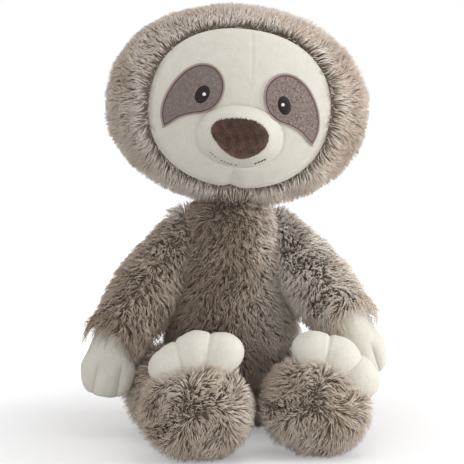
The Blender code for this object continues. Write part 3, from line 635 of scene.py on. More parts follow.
# Head
# A wide cushion of plush with an oval opening in front, whose edge is turned in to meet the face.
# The backing's rings run from that edge round to the middle of the back.
HEAD_HALF_WIDTH = 0.0845
HEAD_HALF_DEPTH = 0.0565
HEAD_HALF_HEIGHT = 0.064
HEAD_FULLNESS = 2.08
HEAD_HEIGHT = 0.2115
HEAD_FORWARD = 0.008
HEAD_TURN = math.radians(5)
HEAD_ROLL = math.radians(7.5)
FACE_HALF_WIDTH = 0.0572
FACE_HALF_HEIGHT = 0.0496
FACE_TO_RIGHT = -0.0004
FACE_DROP = 0.0014
FACE_FULLNESS = 2.2
FACE_EDGE_DEPTH = 0.020
HEAD_GRID = (128, 56)
EDGE_HALVINGS = 30
head_turn = turned((0, 0, 1), HEAD_TURN) @ turned((0, 1, 0), HEAD_ROLL)
head_place = toy_place + np.array([0.0, -HEAD_FORWARD, HEAD_HEIGHT])
head_shape = dict(sizes=(HEAD_HALF_WIDTH, HEAD_HALF_DEPTH, HEAD_HALF_HEIGHT), fullness=HEAD_FULLNESS)


def from_face(polar, turn):
    """Unit directions by the angle from straight ahead and the angle round the face."""
    ahead = -np.cos(polar) + 0 * turn
    return np.stack([np.sin(polar) * np.cos(turn), ahead, np.sin(polar) * np.sin(turn)], axis=-1)


def face_level(x, z):
    """0 in the middle of the face's opening, and 1 on its edge."""
    across, up = (x - FACE_TO_RIGHT) / FACE_HALF_WIDTH, (z + FACE_DROP) / FACE_HALF_HEIGHT
    return oval_level(across, up, FACE_FULLNESS)


around = full_turn(HEAD_GRID[0])
near, far = np.zeros(HEAD_GRID[0]), np.full(HEAD_GRID[0], np.pi / 2)
for _ in range(EDGE_HALVINGS):
    middle = (near + far) / 2
    at = plump(from_face(middle, around), **head_shape, inset=PILE_DEPTH)
    inside = face_level(at[:, 0], at[:, 2]) < 1
    near, far = np.where(inside, middle, near), np.where(inside, far, middle)
share = np.linspace(0.0, 1.0, HEAD_GRID[1])[:-1, None]
shell = plump(from_face(near + (np.pi - near) * share, around + 0 * share), **head_shape, inset=PILE_DEPTH)
turned_in = shell[0] * (1, 0, 1) - (0, FACE_EDGE_DEPTH, 0)
middle_front = np.array([FACE_TO_RIGHT, -FACE_EDGE_DEPTH, -FACE_DROP])
rings = np.concatenate([[(turned_in + middle_front) / 2, turned_in], shell])
points, faces = ring_form(middle_front, rings, (0.0, HEAD_HALF_DEPTH - PILE_DEPTH, 0.0))
points = placed(points, head_turn, head_place)
head_backing = new_piece("head_backing", points, faces, backing)
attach(head_backing, "head")
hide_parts("head_cover", "head_stuffing")
covers["head"] = dict(points=points, faces=faces, **own_form(within_plump, head_shape, head_turn, head_place))

# Face
# Two panels of the cream plush, sewn together down the middle and stretched over the fill as a shallow dome.
# The seam shows on the forehead and draws the chin into a notch, and the rim is turned in under the fur.
DOME_HALF_WIDTH = 0.074
DOME_HALF_DEPTH = 0.055
DOME_HALF_HEIGHT = 0.065
PANEL_THICKNESS = 0.0014
PANEL_LEAST_WIDTH = 0.0004
PANEL_GRID = (240, 120)
PANEL_BACK_STRIDE = 10
SEAM_HALF_GAP = 0.00002
SEAM_BOW = 0.0028
SEAM_BOW_HEIGHT = 0.014
SEAM_BOW_SPAN = 0.026
SEAM_WIDTH = 0.0013
SEAM_DEPTH = 0.0003
SEAM_FADE = (0.010, 0.036)
CHIN_PINCH_WIDTH = 0.0042
CHIN_PINCH_DEPTH = 0.0030
CHIN_NOTCH = 0.0017
CHIN_FROM = 0.034
CHIN_SPAN = 0.014
RIM_ROLL = 0.0014
RIM_BAND_SHARE = 0.07
MUZZLE_HALF_WIDTH = 0.0274
MUZZLE_HALF_HEIGHT = 0.0196
MUZZLE_SWELL = 0.0150
MUZZLE_DROP = 0.0175
MUZZLE_FULLNESS = 2.15
MUZZLE_CROWN = (2.4, 0.8)
MUZZLE_SEAM = 0.045
MUZZLE_SEAM_DEPTH = 0.0006
MUZZLE_LAP = 0.0016
MUZZLE_LAP_SHARE = 0.12


def muzzle_level(x, z):
    """0 in the middle of the muzzle, 1 on the seam round it."""
    return oval_level(x / MUZZLE_HALF_WIDTH, (z + MUZZLE_DROP) / MUZZLE_HALF_HEIGHT, MUZZLE_FULLNESS)


def dome_front(x, z):
    """How far the stuffed dome stands forward, with the dip of the muzzle's seam."""
    flat = 1 - (x / DOME_HALF_WIDTH) ** 2 - (z / DOME_HALF_HEIGHT) ** 2
    dip = MUZZLE_SEAM_DEPTH * np.exp(-(((muzzle_level(x, z) - 1) / MUZZLE_SEAM) ** 2))
    return DOME_HALF_DEPTH * np.sqrt(np.maximum(flat, 0.0)) - dip


def face_front(x, z):
    """How far the face stands forward: the dome, and on it the muzzle's pillow, crowned by its two powers."""
    crown = np.maximum(0.0, 1 - muzzle_level(x, z) ** MUZZLE_CROWN[0]) ** MUZZLE_CROWN[1]
    return dome_front(x, z) + MUZZLE_SWELL * crown


def seam_line(z):
    """Where the middle seam runs, left or right of the middle."""
    return SEAM_BOW * np.exp(-(((z - SEAM_BOW_HEIGHT) / SEAM_BOW_SPAN) ** 2))


def on_head(x, z, forward):
    """Points of the head's frame by how far forward they stand, put in the toy's frame."""
    x, z, forward = np.broadcast_arrays(x, z, forward)
    points = np.stack([x, -forward, z], axis=-1).reshape(-1, 3)
    return placed(points, head_turn, head_place).reshape(*x.shape, 3)


for side, sign in SIDES.items():
    rows, columns = PANEL_GRID
    rise = np.sin(np.pi / 2 * np.linspace(-1, 1, rows + 1)[1:-1])[:, None]
    shares = (1 - np.cos(np.pi * np.linspace(0.0, 1.0, columns)[None])) / 2
    z = FACE_HALF_HEIGHT * rise - FACE_DROP
    edge = FACE_HALF_WIDTH * (1 - np.abs(rise) ** FACE_FULLNESS) ** (1 / FACE_FULLNESS)
    middle = seam_line(z) + sign * SEAM_HALF_GAP
    from_seam = np.maximum(edge + sign * (FACE_TO_RIGHT - middle), PANEL_LEAST_WIDTH) * shares
    x = middle + sign * from_seam
    level = face_level(x, z)
    chin = smooth_step((-z - CHIN_FROM) / CHIN_SPAN)
    pinch = chin * np.exp(-((from_seam / CHIN_PINCH_WIDTH) ** 2))
    z = z + CHIN_NOTCH * pinch
    fade = smooth_step((np.abs(z) - SEAM_FADE[0]) / (SEAM_FADE[1] - SEAM_FADE[0]))
    seam = fade * np.exp(-((from_seam / SEAM_WIDTH) ** 2))
    forward = dome_front(x, z) - SEAM_DEPTH * seam - CHIN_PINCH_DEPTH * pinch
    forward = forward - RIM_ROLL * smooth_step((level - (1 - RIM_BAND_SHARE)) / RIM_BAND_SHARE) ** 2
    forward = forward - MUZZLE_LAP * smooth_step((1 - muzzle_level(x, z)) / MUZZLE_LAP_SHARE)
    front = on_head(x, z, forward)
    behind = on_head(x, z, forward - PANEL_THICKNESS)[:, -3::-PANEL_BACK_STRIDE]
    ends = [
        on_head(sign * SEAM_HALF_GAP, top * FACE_HALF_HEIGHT - FACE_DROP + tip, float(forward[row, -1]))
        for top, tip, row in ((-1, CHIN_NOTCH, 0), (1, 0.0, -1))
    ]
    points, faces = ring_form(ends[0], np.concatenate([front, behind], axis=1), ends[1])
    panel = new_piece(f"face_panel_{side}_plush", points, faces, cream_velour)
    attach(panel, "head")
    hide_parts("face_panel_" + side)

# Muzzle
# A small pillow of the cream plush, stuffed by itself and sewn on round its edge.
MUZZLE_GRID = (90, 216)
MUZZLE_BACK = 0.006
MUZZLE_BACK_STRIDE = 12
level = np.sin(np.pi / 2 * np.arange(1, MUZZLE_GRID[0] + 1) / MUZZLE_GRID[0])[:, None]
around = full_turn(MUZZLE_GRID[1])[None]
norm = oval_level(np.cos(around), np.sin(around), MUZZLE_FULLNESS)
x = MUZZLE_HALF_WIDTH * level * np.cos(around) / norm
z = MUZZLE_HALF_HEIGHT * level * np.sin(around) / norm - MUZZLE_DROP
front = on_head(x, z, face_front(x, z))
behind = on_head(x, z, face_front(x[-1], z[-1]) - MUZZLE_BACK)[-2::-MUZZLE_BACK_STRIDE]
heights = face_front(0.0, -MUZZLE_DROP), DOME_HALF_DEPTH - MUZZLE_BACK
tips = [on_head(0.0, -MUZZLE_DROP, height) for height in heights]
points, faces = ring_form(tips[0], np.concatenate([front, behind]), tips[1])
muzzle = new_piece("muzzle_plush", points, faces, cream_velour)
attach(muzzle, "head")
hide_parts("muzzle")

# Eye patches
# Mauve brushed knit, cut to a rounded drop with a tail below its outer side, and laid on the panels.
# A mauve satin stitch binds the edge, and a thin dark line runs inside it.
PATCH_HALF_WIDTH = {"left": 0.0190, "right": 0.0202}
PATCH_HALF_HEIGHT = 0.0203
PATCH_APART = {"left": 0.0315, "right": 0.0304}
PATCH_RISE = 0.0045
PATCH_HEIGHT = 0.0009
PATCH_GRID = (44, 240)
PATCH_OUTLINE = (
    (0.83, -1.15), (0.97, -0.67), (0.91, -0.17), (0.68, 0.33), (0.35, 0.73), (-0.07, 0.97), (-0.49, 0.97),
    (-0.80, 0.76), (-0.95, 0.43), (-0.91, 0.03), (-0.71, -0.30), (-0.39, -0.50), (0.01, -0.61), (0.37, -0.78),
    (0.64, -1.01),
)
OUTLINE_STEPS = 40
BINDING = 0.0010
BINDING_RIDGE = 0.00035
BINDING_DYE = (
    (0.0, "#85716f"), (0.06, "#a8948f"), (0.26, "#9a8682"),
    (0.31, "#473335"), (0.42, "#4e3a3b"), (0.48, "#7c6a66"),
)
PATCH_EDGE = 0.0008
INNER_LINE = 0.0021
LINE_BLUR = 0.0003
KNIT_SPECKLE = {"left": 0.0016, "right": 0.0012}
# The knit is the same on both sides; the right patch's wider spread of dark and pale speckles is painted light
PATCH_DYE_AND_PAINTED_LIGHT = {"left": ("#695c58", "#857974"), "right": ("#564843", "#9c8b84")}
APPLIQUE_BACK_STRIDE = 14


def smooth_outline(corners, count, closed):
    """Points evenly along a curve through the corners: each span is a cubic by its ends and neighbours."""
    corners = np.array(corners, float)
    if closed:
        ring = np.concatenate([corners[-1:], corners, corners[:2]])
    else:
        before, after = 2 * corners[:1] - corners[1:2], 2 * corners[:1] - corners[-1:]
        ring = np.concatenate([before, corners, corners[:1], after])
    spans = len(ring) - 3
    at = np.linspace(0, spans, spans * OUTLINE_STEPS, endpoint=False)
    span = at.astype(int)
    t = (at - span)[:, None]
    a, b, c, d = (ring[span + k] for k in range(4))
    curve = 0.5 * (2 * b + (c - a) * t + (2 * a - 5 * b + 4 * c - d) * t**2 + (3 * b - 3 * c + d - a) * t**3)
    steps = np.linalg.norm(np.diff(curve, axis=0, append=curve[:1]), axis=1)
    gone = np.concatenate([[0.0], np.cumsum(steps)])
    even = np.linspace(0.0, gone[-1], count, endpoint=False)
    around = np.concatenate([curve, curve[:1]])
    return np.stack([np.interp(even, gone, around[:, axis]) for axis in range(2)], axis=1)


def applique(name, outline, middle, height, edge_width, grid, finish, ridge=0.0):
    """A raised form on the face, rounded at its outline's edge. Its points know how far in they lie."""
    share = np.sin(np.pi / 2 * np.arange(1, grid[0] + 1) / grid[0])[:, None, None]
    flat = np.array(middle) + (outline[None] - middle) * share
    gaps = np.linalg.norm(flat.reshape(-1, 1, 2) - outline[None, ::2], axis=2).min(axis=1)
    gaps = gaps.reshape(flat.shape[:2])
    gaps[-1] = 0.0
    rounded = np.sqrt(1 - np.clip(1 - gaps / edge_width, 0.0, 1.0) ** 2)
    stitched = ridge * np.abs(np.sin(np.pi * gaps / (INNER_LINE / 2))) * (gaps < INNER_LINE)
    x, z = flat[..., 0], flat[..., 1]
    front = on_head(x, z, face_front(x, z) + height * rounded + stitched)
    behind = on_head(x, z, face_front(x, z) - height)[-3::-APPLIQUE_BACK_STRIDE]
    tips = [on_head(*middle, face_front(*middle) + lift) for lift in (height, -height)]
    points, faces = ring_form(tips[0], np.concatenate([front, behind]), tips[1])
    piece = new_piece(name, points, faces, finish)
    from_edge = np.zeros(len(points), np.float32)
    from_edge[: gaps.size + 1] = np.concatenate([[gaps.max()], gaps.ravel()])
    piece.data.attributes.new("from_edge", "FLOAT", "POINT").data.foreach_set("value", from_edge)
    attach(piece, "head")
    return piece


for side, sign in SIDES.items():
    # Brushed knit: a dull dyed cloth with a speckled nap, and satin thread round it that catches some light
    finish, tree = new_finish(f"brushed_knit_{side}")
    place = add_node(tree, "TexCoord")
    nap = add_node(tree, "TexNoise", values={"Scale": 1 / KNIT_SPECKLE[side], "Detail": 3.0, "Roughness": 0.7},
                   links={"Vector": place.outputs["Object"]})
    # Painted light: the right patch's speckles run paler and darker than the left's
    dye = add_node(tree, "ValToRGB", links={"Fac": nap}, stops=tuple(zip((0.35, 0.68), PATCH_DYE_AND_PAINTED_LIGHT[side])))
    edge = add_node(tree, "Attribute", {"attribute_name": "from_edge"})
    inwards = add_node(tree, "Math", {"operation": "DIVIDE"}, {1: 4 * BINDING}, {0: edge.outputs["Fac"]})
    thread = add_node(tree, "ValToRGB", links={"Fac": inwards}, stops=BINDING_DYE)
    inside = add_node(tree, "MapRange", values={"From Min": INNER_LINE - LINE_BLUR, "From Max": INNER_LINE},
                      links={"Value": edge.outputs["Fac"]})
    colour = add_node(tree, "Mix", {"data_type": "RGBA"}, links={"Factor": inside, 6: thread, 7: dye})
    cloth_surface(tree, colour.outputs[2], {"Roughness": 0.85, "Sheen Weight": 0.1}, nap, (0.5, 0.0003))
    middle = np.array([sign * PATCH_APART[side], PATCH_RISE])
    outline = smooth_outline(PATCH_OUTLINE, PATCH_GRID[1], closed=False)
    outline = outline * (sign * PATCH_HALF_WIDTH[side], PATCH_HALF_HEIGHT)
    patch = applique(
        f"eye_patch_{side}_knit", outline + middle, middle, PATCH_HEIGHT, PATCH_EDGE,
        PATCH_GRID, finish, BINDING_RIDGE,
    )
    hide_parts("eye_patch_" + side)

# Eyes
# Ovals of dark satin stitch on the patches, leaning towards each other, each with a white glint sewn in.
EYE_HALF_WIDTH = 0.0041
EYE_HALF_HEIGHT = 0.0061
EYE_PLACES = {"left": (-0.0264, 0.0057), "right": (0.0247, 0.0052)}
EYE_LEAN = math.radians(23)
EYE_HEIGHT = 0.0020
EYE_EDGE = 0.0024
GLINT_RADIUS = 0.0013
GLINT_FROM_EYE = {"left": (0.0010, 0.0003), "right": (-0.0012, 0.0004)}
GLINT_HEIGHT = 0.0025
GLINT_EDGE = 0.0006
EYE_GRID = (36, 96)
SATIN_PITCH = 0.00045
WAVE_SPACING = 0.314
RING_WIDTH = 0.0011


def satin(name, edge_colours):
    """Satin stitch: parallel glossy threads, here in colours by how far they lie from the edge.

    At a scale of one, the bands that stand for the threads lie the wave spacing apart.
    """
    finish, tree = new_finish(name)
    place = add_node(tree, "TexCoord")
    threads = add_node(
        tree, "TexWave", {"bands_direction": "Z"}, {"Scale": WAVE_SPACING / SATIN_PITCH, "Distortion": 1.5},
        {"Vector": place.outputs["Object"]},
    )
    edge = add_node(tree, "Attribute", {"attribute_name": "from_edge"})
    inwards = add_node(tree, "Math", {"operation": "DIVIDE"}, {1: 2 * RING_WIDTH}, {0: edge.outputs["Fac"]})
    dye = add_node(tree, "ValToRGB", links={"Fac": inwards}, stops=edge_colours)
    cloth_surface(
        tree, dye, {"Roughness": 0.55, "Specular IOR Level": 0.25}, threads.outputs["Fac"], (0.5, 0.0002)
    )
    return finish


dark_satin = satin(
    "dark_satin_stitch", ((0.0, "#150a0b"), (0.42, "#170b0d"), (0.52, "#332424"), (0.7, "#1d1213"))
)
white_satin = satin("white_satin_stitch", ((0.0, "#e9e5df"), (1.0, "#ffffff")))
turn = full_turn(EYE_GRID[1])
circle = np.stack([np.cos(turn), np.sin(turn)], axis=1)
for side, sign in SIDES.items():
    cos, sin = math.cos(EYE_LEAN), sign * math.sin(EYE_LEAN)
    middle = np.array(EYE_PLACES[side])
    oval = circle * (EYE_HALF_WIDTH, EYE_HALF_HEIGHT) @ np.array([[cos, sin], [-sin, cos]]) + middle
    eye = applique(f"eye_{side}_stitching", oval, middle, EYE_HEIGHT, EYE_EDGE, EYE_GRID, dark_satin)
    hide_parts("eye_" + side)
    middle = middle + GLINT_FROM_EYE[side]
    dot = circle * GLINT_RADIUS + middle
    glint = applique(f"eye_{side}_glint", dot, middle, GLINT_HEIGHT, GLINT_EDGE, EYE_GRID, white_satin)

# Nose
# A rounded pad of brown short-pile plush, wide at the top, sewn to the muzzle.
NOSE_HALF_WIDTH = 0.0167
NOSE_HALF_HEIGHT = 0.0118
NOSE_PLACE = (-0.0012, -0.0172)
NOSE_HEIGHT = 0.0020
NOSE_EDGE = 0.0040
NOSE_GRID = (50, 144)
NOSE_OUTLINE = (
    (-1.02, 0.22), (-0.98, 0.50), (-0.82, 0.74), (-0.43, 0.92), (0.16, 0.99), (0.66, 0.82), (0.94, 0.42),
    (0.99, 0.04), (0.87, -0.36), (0.58, -0.75), (0.21, -0.97), (-0.14, -0.92), (-0.55, -0.60), (-0.89, -0.13),
)

# Brown plush under its pile: a dark knit
nose_knit = mottled("brown_knit", NAP_GRAIN, ((0.3, "#46342a"), (0.7, "#5c4436")), {"Roughness": 0.95})
middle = np.array(NOSE_PLACE)
nose_outline = smooth_outline(NOSE_OUTLINE, NOSE_GRID[1], closed=True)
nose_outline = nose_outline * (NOSE_HALF_WIDTH, NOSE_HALF_HEIGHT) + middle
nose = applique("nose_plush", nose_outline, middle, NOSE_HEIGHT, NOSE_EDGE, NOSE_GRID, nose_knit)
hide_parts("nose")
nose_points = np.empty(3 * len(nose.data.vertices), np.float32)
nose.data.vertices.foreach_get("co", nose_points)
nose_corners = np.empty(3 * len(nose.data.polygons), np.int32)
nose.data.loops.foreach_get("vertex_index", nose_corners)

# Mouth
# A few running stitches of dark thread, low on the muzzle, along one shallow curve.
SMILE_RADIUS = 0.0275
SMILE_BOTTOM = -0.0350
# How far each stitch lies to the right, and its length
STITCHES = (
    (-0.0171, 0.0010), (-0.0157, 0.0008), (-0.0138, 0.0013), (-0.0095, 0.0010), (-0.0075, 0.0013),
    (-0.0053, 0.0012), (-0.0033, 0.0013), (-0.0001, 0.0010),
    (0.0117, 0.0013), (0.0137, 0.0014), (0.0154, 0.0012), (0.0169, 0.0009),
)
STITCH_RADIUS = 0.00048
STITCH_PROUD = 0.0006
STITCH_GRID = (12, 12)

# Spun polyester thread: near black, with a slight gloss
mouth_thread = mottled(
    "spun_polyester_thread", SATIN_PITCH, ((0.3, "#2a2123"), (0.7, "#40373a")), {"Roughness": 0.5}
)

unit, unit_faces = unit_ball(*STITCH_GRID)
stitch_points = []
for x, length in STITCHES:
    level = math.sqrt(SMILE_RADIUS**2 - x * x)
    z = SMILE_BOTTOM + SMILE_RADIUS - level
    along = unit[:, 2:] * np.array([level, 0.0, x]) / SMILE_RADIUS * length / 2
    middle = np.array([x, -(face_front(x, z) + STITCH_PROUD), z])
    stitch_points.append(placed(unit * STITCH_RADIUS + along + middle, head_turn, head_place))
faces = np.concatenate([unit_faces + len(unit) * number for number in range(len(STITCHES))])
points = np.concatenate(stitch_points)
mouth = new_piece("mouth_stitches", points, outward(points, faces), mouth_thread)
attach(mouth, "head")

# Long pile
# Crimped polyester fibres about 10 mm long, combed and then matted into small tufts by handling.
# Their colour is painted darker towards the root, as painted shade, so the gaps between tufts read dark.
FIBRE_RADIUS = 0.00024
FIBRE_RADIUS_SHARES = (0.8, 1.25)
FIBRE_TAPER = 0.85
FIBRES_PER_MM2 = 1.2
PILE_MAP = "OFBake"
MAP_WIDTH = 0.006
PILE_TONES = ((0.0, "#a8937f"), (0.25, "#c7b39f"), (0.5, "#dccab8"), (0.75, "#ecdecf"), (1.0, "#f8efe5"))
# Painted shade: the colour at a fibre's root, as a share of its tone
ROOT_SHADE = 0.80
TUFT_SIZE = 0.0021
TUFT_LEAN = 0.28
TUFT_REACH = 0.2
TUFT_TONE = 0.1
TUFT_WARP = 0.45
TUFT_WARP_SIZE = 3.1
# How high and how long the waves are, and how far chance goes
SPREADS = {
    "wander": (0.4, 0.020, 0.15),
    "lean": (0.1, 0.012, 0.08),
    "reach": (0.06, 0.018, 0.05),
    "tone": (0.08, 0.03, 0.1),
}
LEAN_LIMIT = 1.3
DROOP = 17.0
BEND_AT = 0.55
BEND_LEAN = 0.4
BEND_DROOP = 0.3
BEND_PULL = 0.6
ROOT_INSET = PILE_DEPTH * 0.8
TIP_INSET = PILE_DEPTH * 0.5
PRESSED_RISE = 0.0035
PRESSED_LEAN = 1.15
PRESSED_LENGTH = 0.0050
LAID_CLEARANCE = 0.0005
LAID_STEP = 0.001
LAID_STEPS = 14
SMOOTH_INSET = 0.0006
LEAST_ROOT_LEVEL = 0.998
LEAST_TIP_LEVEL = 0.98
CELL_KEYS = (73856093, 19349663, 83492791)
DOWN = np.array([0.0, 0.0, -1.0])
rng = np.random.default_rng(11)


def pile_finish(name, tones):
    """Fibres coloured by their own map: across it by the fibre's tone, and up it from root to tip."""
    finish, tree = new_finish(name)
    mapped = add_node(tree, "UVMap", {"uv_map": PILE_MAP})
    parts = add_node(tree, "SeparateXYZ", links={"Vector": mapped})
    tone = add_node(tree, "ValToRGB", links={"Fac": parts.outputs["X"]}, stops=tones)
    # Painted shade, darker towards the root
    shade = add_node(tree, "MapRange", values={"To Min": ROOT_SHADE, "To Max": 1.0},
                     links={"Value": parts.outputs["Y"]})
    shaded = add_node(tree, "VectorMath", {"operation": "SCALE"}, links={0: tone, "Scale": shade})
    cloth_surface(
        tree, shaded,
        {"Roughness": 0.7, "Specular IOR Level": 0.3, "Sheen Weight": 0.2, "Sheen Roughness": 0.6},
    )
    return finish


def waves(points, size, seed, count=14):
    """Smooth uneven values of about unit spread: a sum of sines of unlike direction, pitch and phase."""
    draw = np.random.default_rng(seed)
    ways = draw.normal(size=(count, 3))
    ways *= 2 * np.pi / size * draw.uniform(0.5, 1.5, (count, 1)) / np.linalg.norm(ways, axis=1, keepdims=True)
    return np.sin(points @ ways.T + draw.uniform(0, 2 * np.pi, count)).sum(axis=1) / math.sqrt(count / 2)


def unit_rows(rows):
    """Each row at length one."""
    return rows / np.maximum(np.linalg.norm(rows, axis=1, keepdims=True), 1e-12)


def scattered(points, faces, per_mm2):
    """Places spread over a surface by area, with the surface's smooth normal at each."""
    a, b, c = (points[faces[:, corner]] for corner in range(3))
    across = np.cross(b - a, c - a)
    area = np.linalg.norm(across, axis=1) / 2
    total = np.zeros_like(points)
    for corner in range(3):
        for axis in range(3):
            total[:, axis] += np.bincount(faces[:, corner], across[:, axis], len(points))
    chosen = rng.choice(len(faces), int(area.sum() * 1e6 * per_mm2), p=area / area.sum())
    one, two = rng.random((2, len(chosen)))
    over = one + two > 1
    one[over], two[over] = 1 - one[over], 1 - two[over]
    shares = np.stack([1 - one - two, one, two], axis=1)[:, :, None]
    corners = faces[chosen]
    return (points[corners] * shares).sum(axis=1), unit_rows((unit_rows(total)[corners] * shares).sum(axis=1))


def tuft_numbers(places, size, seed):
    """Which tuft each fibre belongs to. The tufts are uneven cells of about this size."""
    warp = np.stack([waves(places, size * TUFT_WARP_SIZE, seed + axis) for axis in range(3)], axis=1)
    cells = np.floor((places + warp * size * TUFT_WARP) / size).astype(np.int64)
    return np.unique(cells @ np.array(CELL_KEYS), return_inverse=True)[1].ravel()


def tuft_middles(values, tuft):
    """For each fibre, the mean over its tuft."""
    count = np.bincount(tuft)
    return np.stack([np.bincount(tuft, column) / count for column in values.T], axis=1)[tuft]


def laid_over(points, form):
    """Points moved straight out from a smooth piece's middle line until they lie outside it."""
    points = points.copy()
    out = unit_rows(unplaced(points, form["turn"], form["origin"]) * (1, 1, 0)) @ form["turn"].T
    for _ in range(LAID_STEPS):
        inside = form["within"](points, -LAID_CLEARANCE)
        points[inside] += LAID_STEP * out[inside]
    return points


def fibre_piece(name, fibres, finish):
    """Thin three-sided fibres, closed at the root: a ring there, a smaller one at the bend, and a point."""
    roots, middles, tips, tones = fibres[:, :3], fibres[:, 3:6], fibres[:, 6:9], fibres[:, 9]
    count = len(fibres)
    side = unit_rows(np.cross(middles - roots, rng.normal(size=(count, 3))))
    other = np.cross(unit_rows(middles - roots), side)
    radius = FIBRE_RADIUS * rng.uniform(*FIBRE_RADIUS_SHARES, (count, 1))
    rings = []
    for centre, width in ((roots, 1.0), (middles, FIBRE_TAPER)):
        for turn in full_turn(3):
            rings.append(centre + (side * math.cos(turn) + other * math.sin(turn)) * radius * width)
    points = np.stack([*rings, tips], axis=1).reshape(-1, 3)
    points[:, 2] = np.maximum(points[:, 2], LOWEST)
    walls = []
    for k, n in ((0, 1), (1, 2), (2, 0)):
        walls += [(k, n, 3 + n), (k, 3 + n, 3 + k), (3 + k, 3 + n, 6)]
    faces = (np.arange(count)[:, None, None] * 7 + np.array([(0, 2, 1), *walls])[None]).reshape(-1, 3)
    piece = new_piece(name, points, faces, finish)
    across = MAP_WIDTH * np.array([-1, 1, 0, -1, 1, 0, 0])
    up = np.array([0.02, 0.02, 0.0, 0.5, 0.5, 0.5, 1.0])
    tones = 2 * MAP_WIDTH + (1 - 4 * MAP_WIDTH) * np.clip(tones, 0.0, 1.0)
    spots = np.stack([tones[:, None] + across[None], np.broadcast_to(up, (count, 7))], axis=-1).reshape(-1, 2)
    corner_spots = spots[faces.ravel()].astype(np.float32)
    piece.data.uv_layers.new(name=PILE_MAP).uv.foreach_set("vector", corner_spots.ravel())
    return piece


def spread(roots, kind, seed):
    """How a kind of unevenness differs from fibre to fibre: in smooth waves, and by chance."""
    wave, size, own = SPREADS[kind]
    return wave * waves(roots, size, seed) + rng.normal(0, own, len(roots))


def between(way, normals, lean):
    """The direction that leans by this angle from the normal towards the way."""
    return way * np.sin(lean)[:, None] + normals * np.cos(lean)[:, None]


def grow_pile(name, comb, style, seed, parts=1, behind=(), under=(), beside=()):
    """The fibres of one cover. Each leans along the comb, droops, and is drawn to the middle of its tuft.

    comb gives the way the fibres lie. style gives their lean, length, how far the tuft pulls them, how far the
    tufts stray from the comb, and their tone. No fibre leans much beyond the comb.
    behind names covers that fibres don't grow in, and beside smooth pieces that they don't pass through.
    under names covers that press the pile flat and can be lifted off it.
    """
    cover = covers[name]
    roots, normals = scattered(cover["points"], cover["faces"], FIBRES_PER_MM2)
    kept = roots[:, 2] > 1.5 * LOWEST
    for other in behind:
        kept &= ~covers[other]["within"](roots, ROOT_INSET)
    for other in beside:
        kept &= ~smooth_forms[other]["within"](roots, 0.0)
    local = unplaced(roots, cover["turn"], cover["origin"])
    if name == "head":
        kept &= (local[:, 1] > 0) | (face_level(local[:, 0], local[:, 2]) > LEAST_ROOT_LEVEL)
    roots, normals, local = roots[kept], normals[kept], local[kept]
    count = len(roots)
    tuft = tuft_numbers(roots, TUFT_SIZE, seed)
    own = np.random.default_rng(seed).normal(size=(tuft.max() + 1, 4))[tuft]
    lean, length, pull, stray, tone = (np.broadcast_to(value, count) for value in style(local))
    pressed = np.zeros(count, bool)
    for other in under:
        within = covers[other]["within"]
        pressed |= within(roots, ROOT_INSET) | within(roots + PRESSED_RISE * normals, TIP_INSET)
    lean, length = np.where(pressed, PRESSED_LEAN, lean), np.where(pressed, PRESSED_LENGTH, length)
    way = unit_rows(comb(local) @ cover["turn"].T)
    along = (way * normals).sum(axis=1)
    lean = np.minimum(lean, LEAN_LIMIT * np.arccos(np.clip(along, -1.0, 1.0)))
    way = unit_rows(way - normals * along[:, None])
    wander = own[:, 0] * stray + spread(roots, "wander", seed + 10)
    way = way * np.cos(wander)[:, None] + np.cross(normals, way) * np.sin(wander)[:, None]
    lean = lean + TUFT_LEAN * own[:, 1] * pull + spread(roots, "lean", seed + 30)
    reach = length * (1 + TUFT_REACH * own[:, 2] * pull + spread(roots, "reach", seed + 40))
    tips = roots + reach[:, None] * between(way, normals, lean)
    middles = roots + BEND_AT * reach[:, None] * between(way, normals, BEND_LEAN * lean)
    tips[:, 2] -= DROOP * reach**2
    middles[:, 2] -= BEND_DROOP * DROOP * reach**2
    tips += (tuft_middles(tips, tuft) - tips) * pull[:, None]
    middles += (tuft_middles(middles, tuft) - middles) * BEND_PULL * pull[:, None]
    kept = np.ones(count, bool)
    for other in behind:
        kept &= ~covers[other]["within"](tips, TIP_INSET)
    for other in beside:
        middles, tips = (laid_over(points, smooth_forms[other]) for points in (middles, tips))
        for points in (middles, tips):
            kept &= ~smooth_forms[other]["within"](points, SMOOTH_INSET)
    if name == "head":
        tip = unplaced(tips, head_turn, head_place)
        kept &= (tip[:, 1] > 0) | (face_level(tip[:, 0], tip[:, 2]) > LEAST_TIP_LEVEL)
    tones = tone + TUFT_TONE * own[:, 3] + spread(roots, "tone", seed + 70)
    fibres = np.column_stack([roots, middles, tips, tones])[kept]
    across = np.argsort(np.argsort(local[kept, 0])) * parts // len(fibres)
    for part in range(parts):
        piece = fibre_piece(f"{name}_pile_{part + 1}", fibres[across == part], long_pile)
        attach(piece, name)


long_pile = pile_finish("crimped_polyester_pile", PILE_TONES)

# The head's pile lies flat and fine round the face, combed away from it, and mats towards the outline.
# Here and for the other covers, four values are the lean, the length, the tuft's pull and how far tufts stray.
HEAD_RIM = (0.38, 0.0086, 0.14, 0.16)
HEAD_OUTLINE = (0.58, 0.0092, 0.30, 0.40)
HEAD_TONE = 0.62
# Painted light along the face's rim, and painted shade towards the right of the head
RIM_PAINTED_LIGHT = 0.3
RIGHT_PAINTED_SHADE = 2.5
RIM_BAND = 0.28
RIM_EDGE = 0.05
RIM_LAID = 0.34
FLAT_CORNER = (-0.77, 0.0, 0.64)
FLATTER = 0.0030
COMBED_AHEAD = 0.12
BACK_FROM = -0.005
BACK_SPAN = 0.04


def head_comb(local):
    """Out from the face in front, and down the back of the head."""
    out = unit_rows(local * (HEAD_HALF_WIDTH**-2, 0.0, HEAD_HALF_HEIGHT**-2))
    back = np.clip((local[:, 1:2] - BACK_FROM) / BACK_SPAN, 0.0, 1.0)
    return (out + (0.0, -COMBED_AHEAD, 0.0)) * (1 - back) + back * np.array([0.0, 0.1, -1.0])


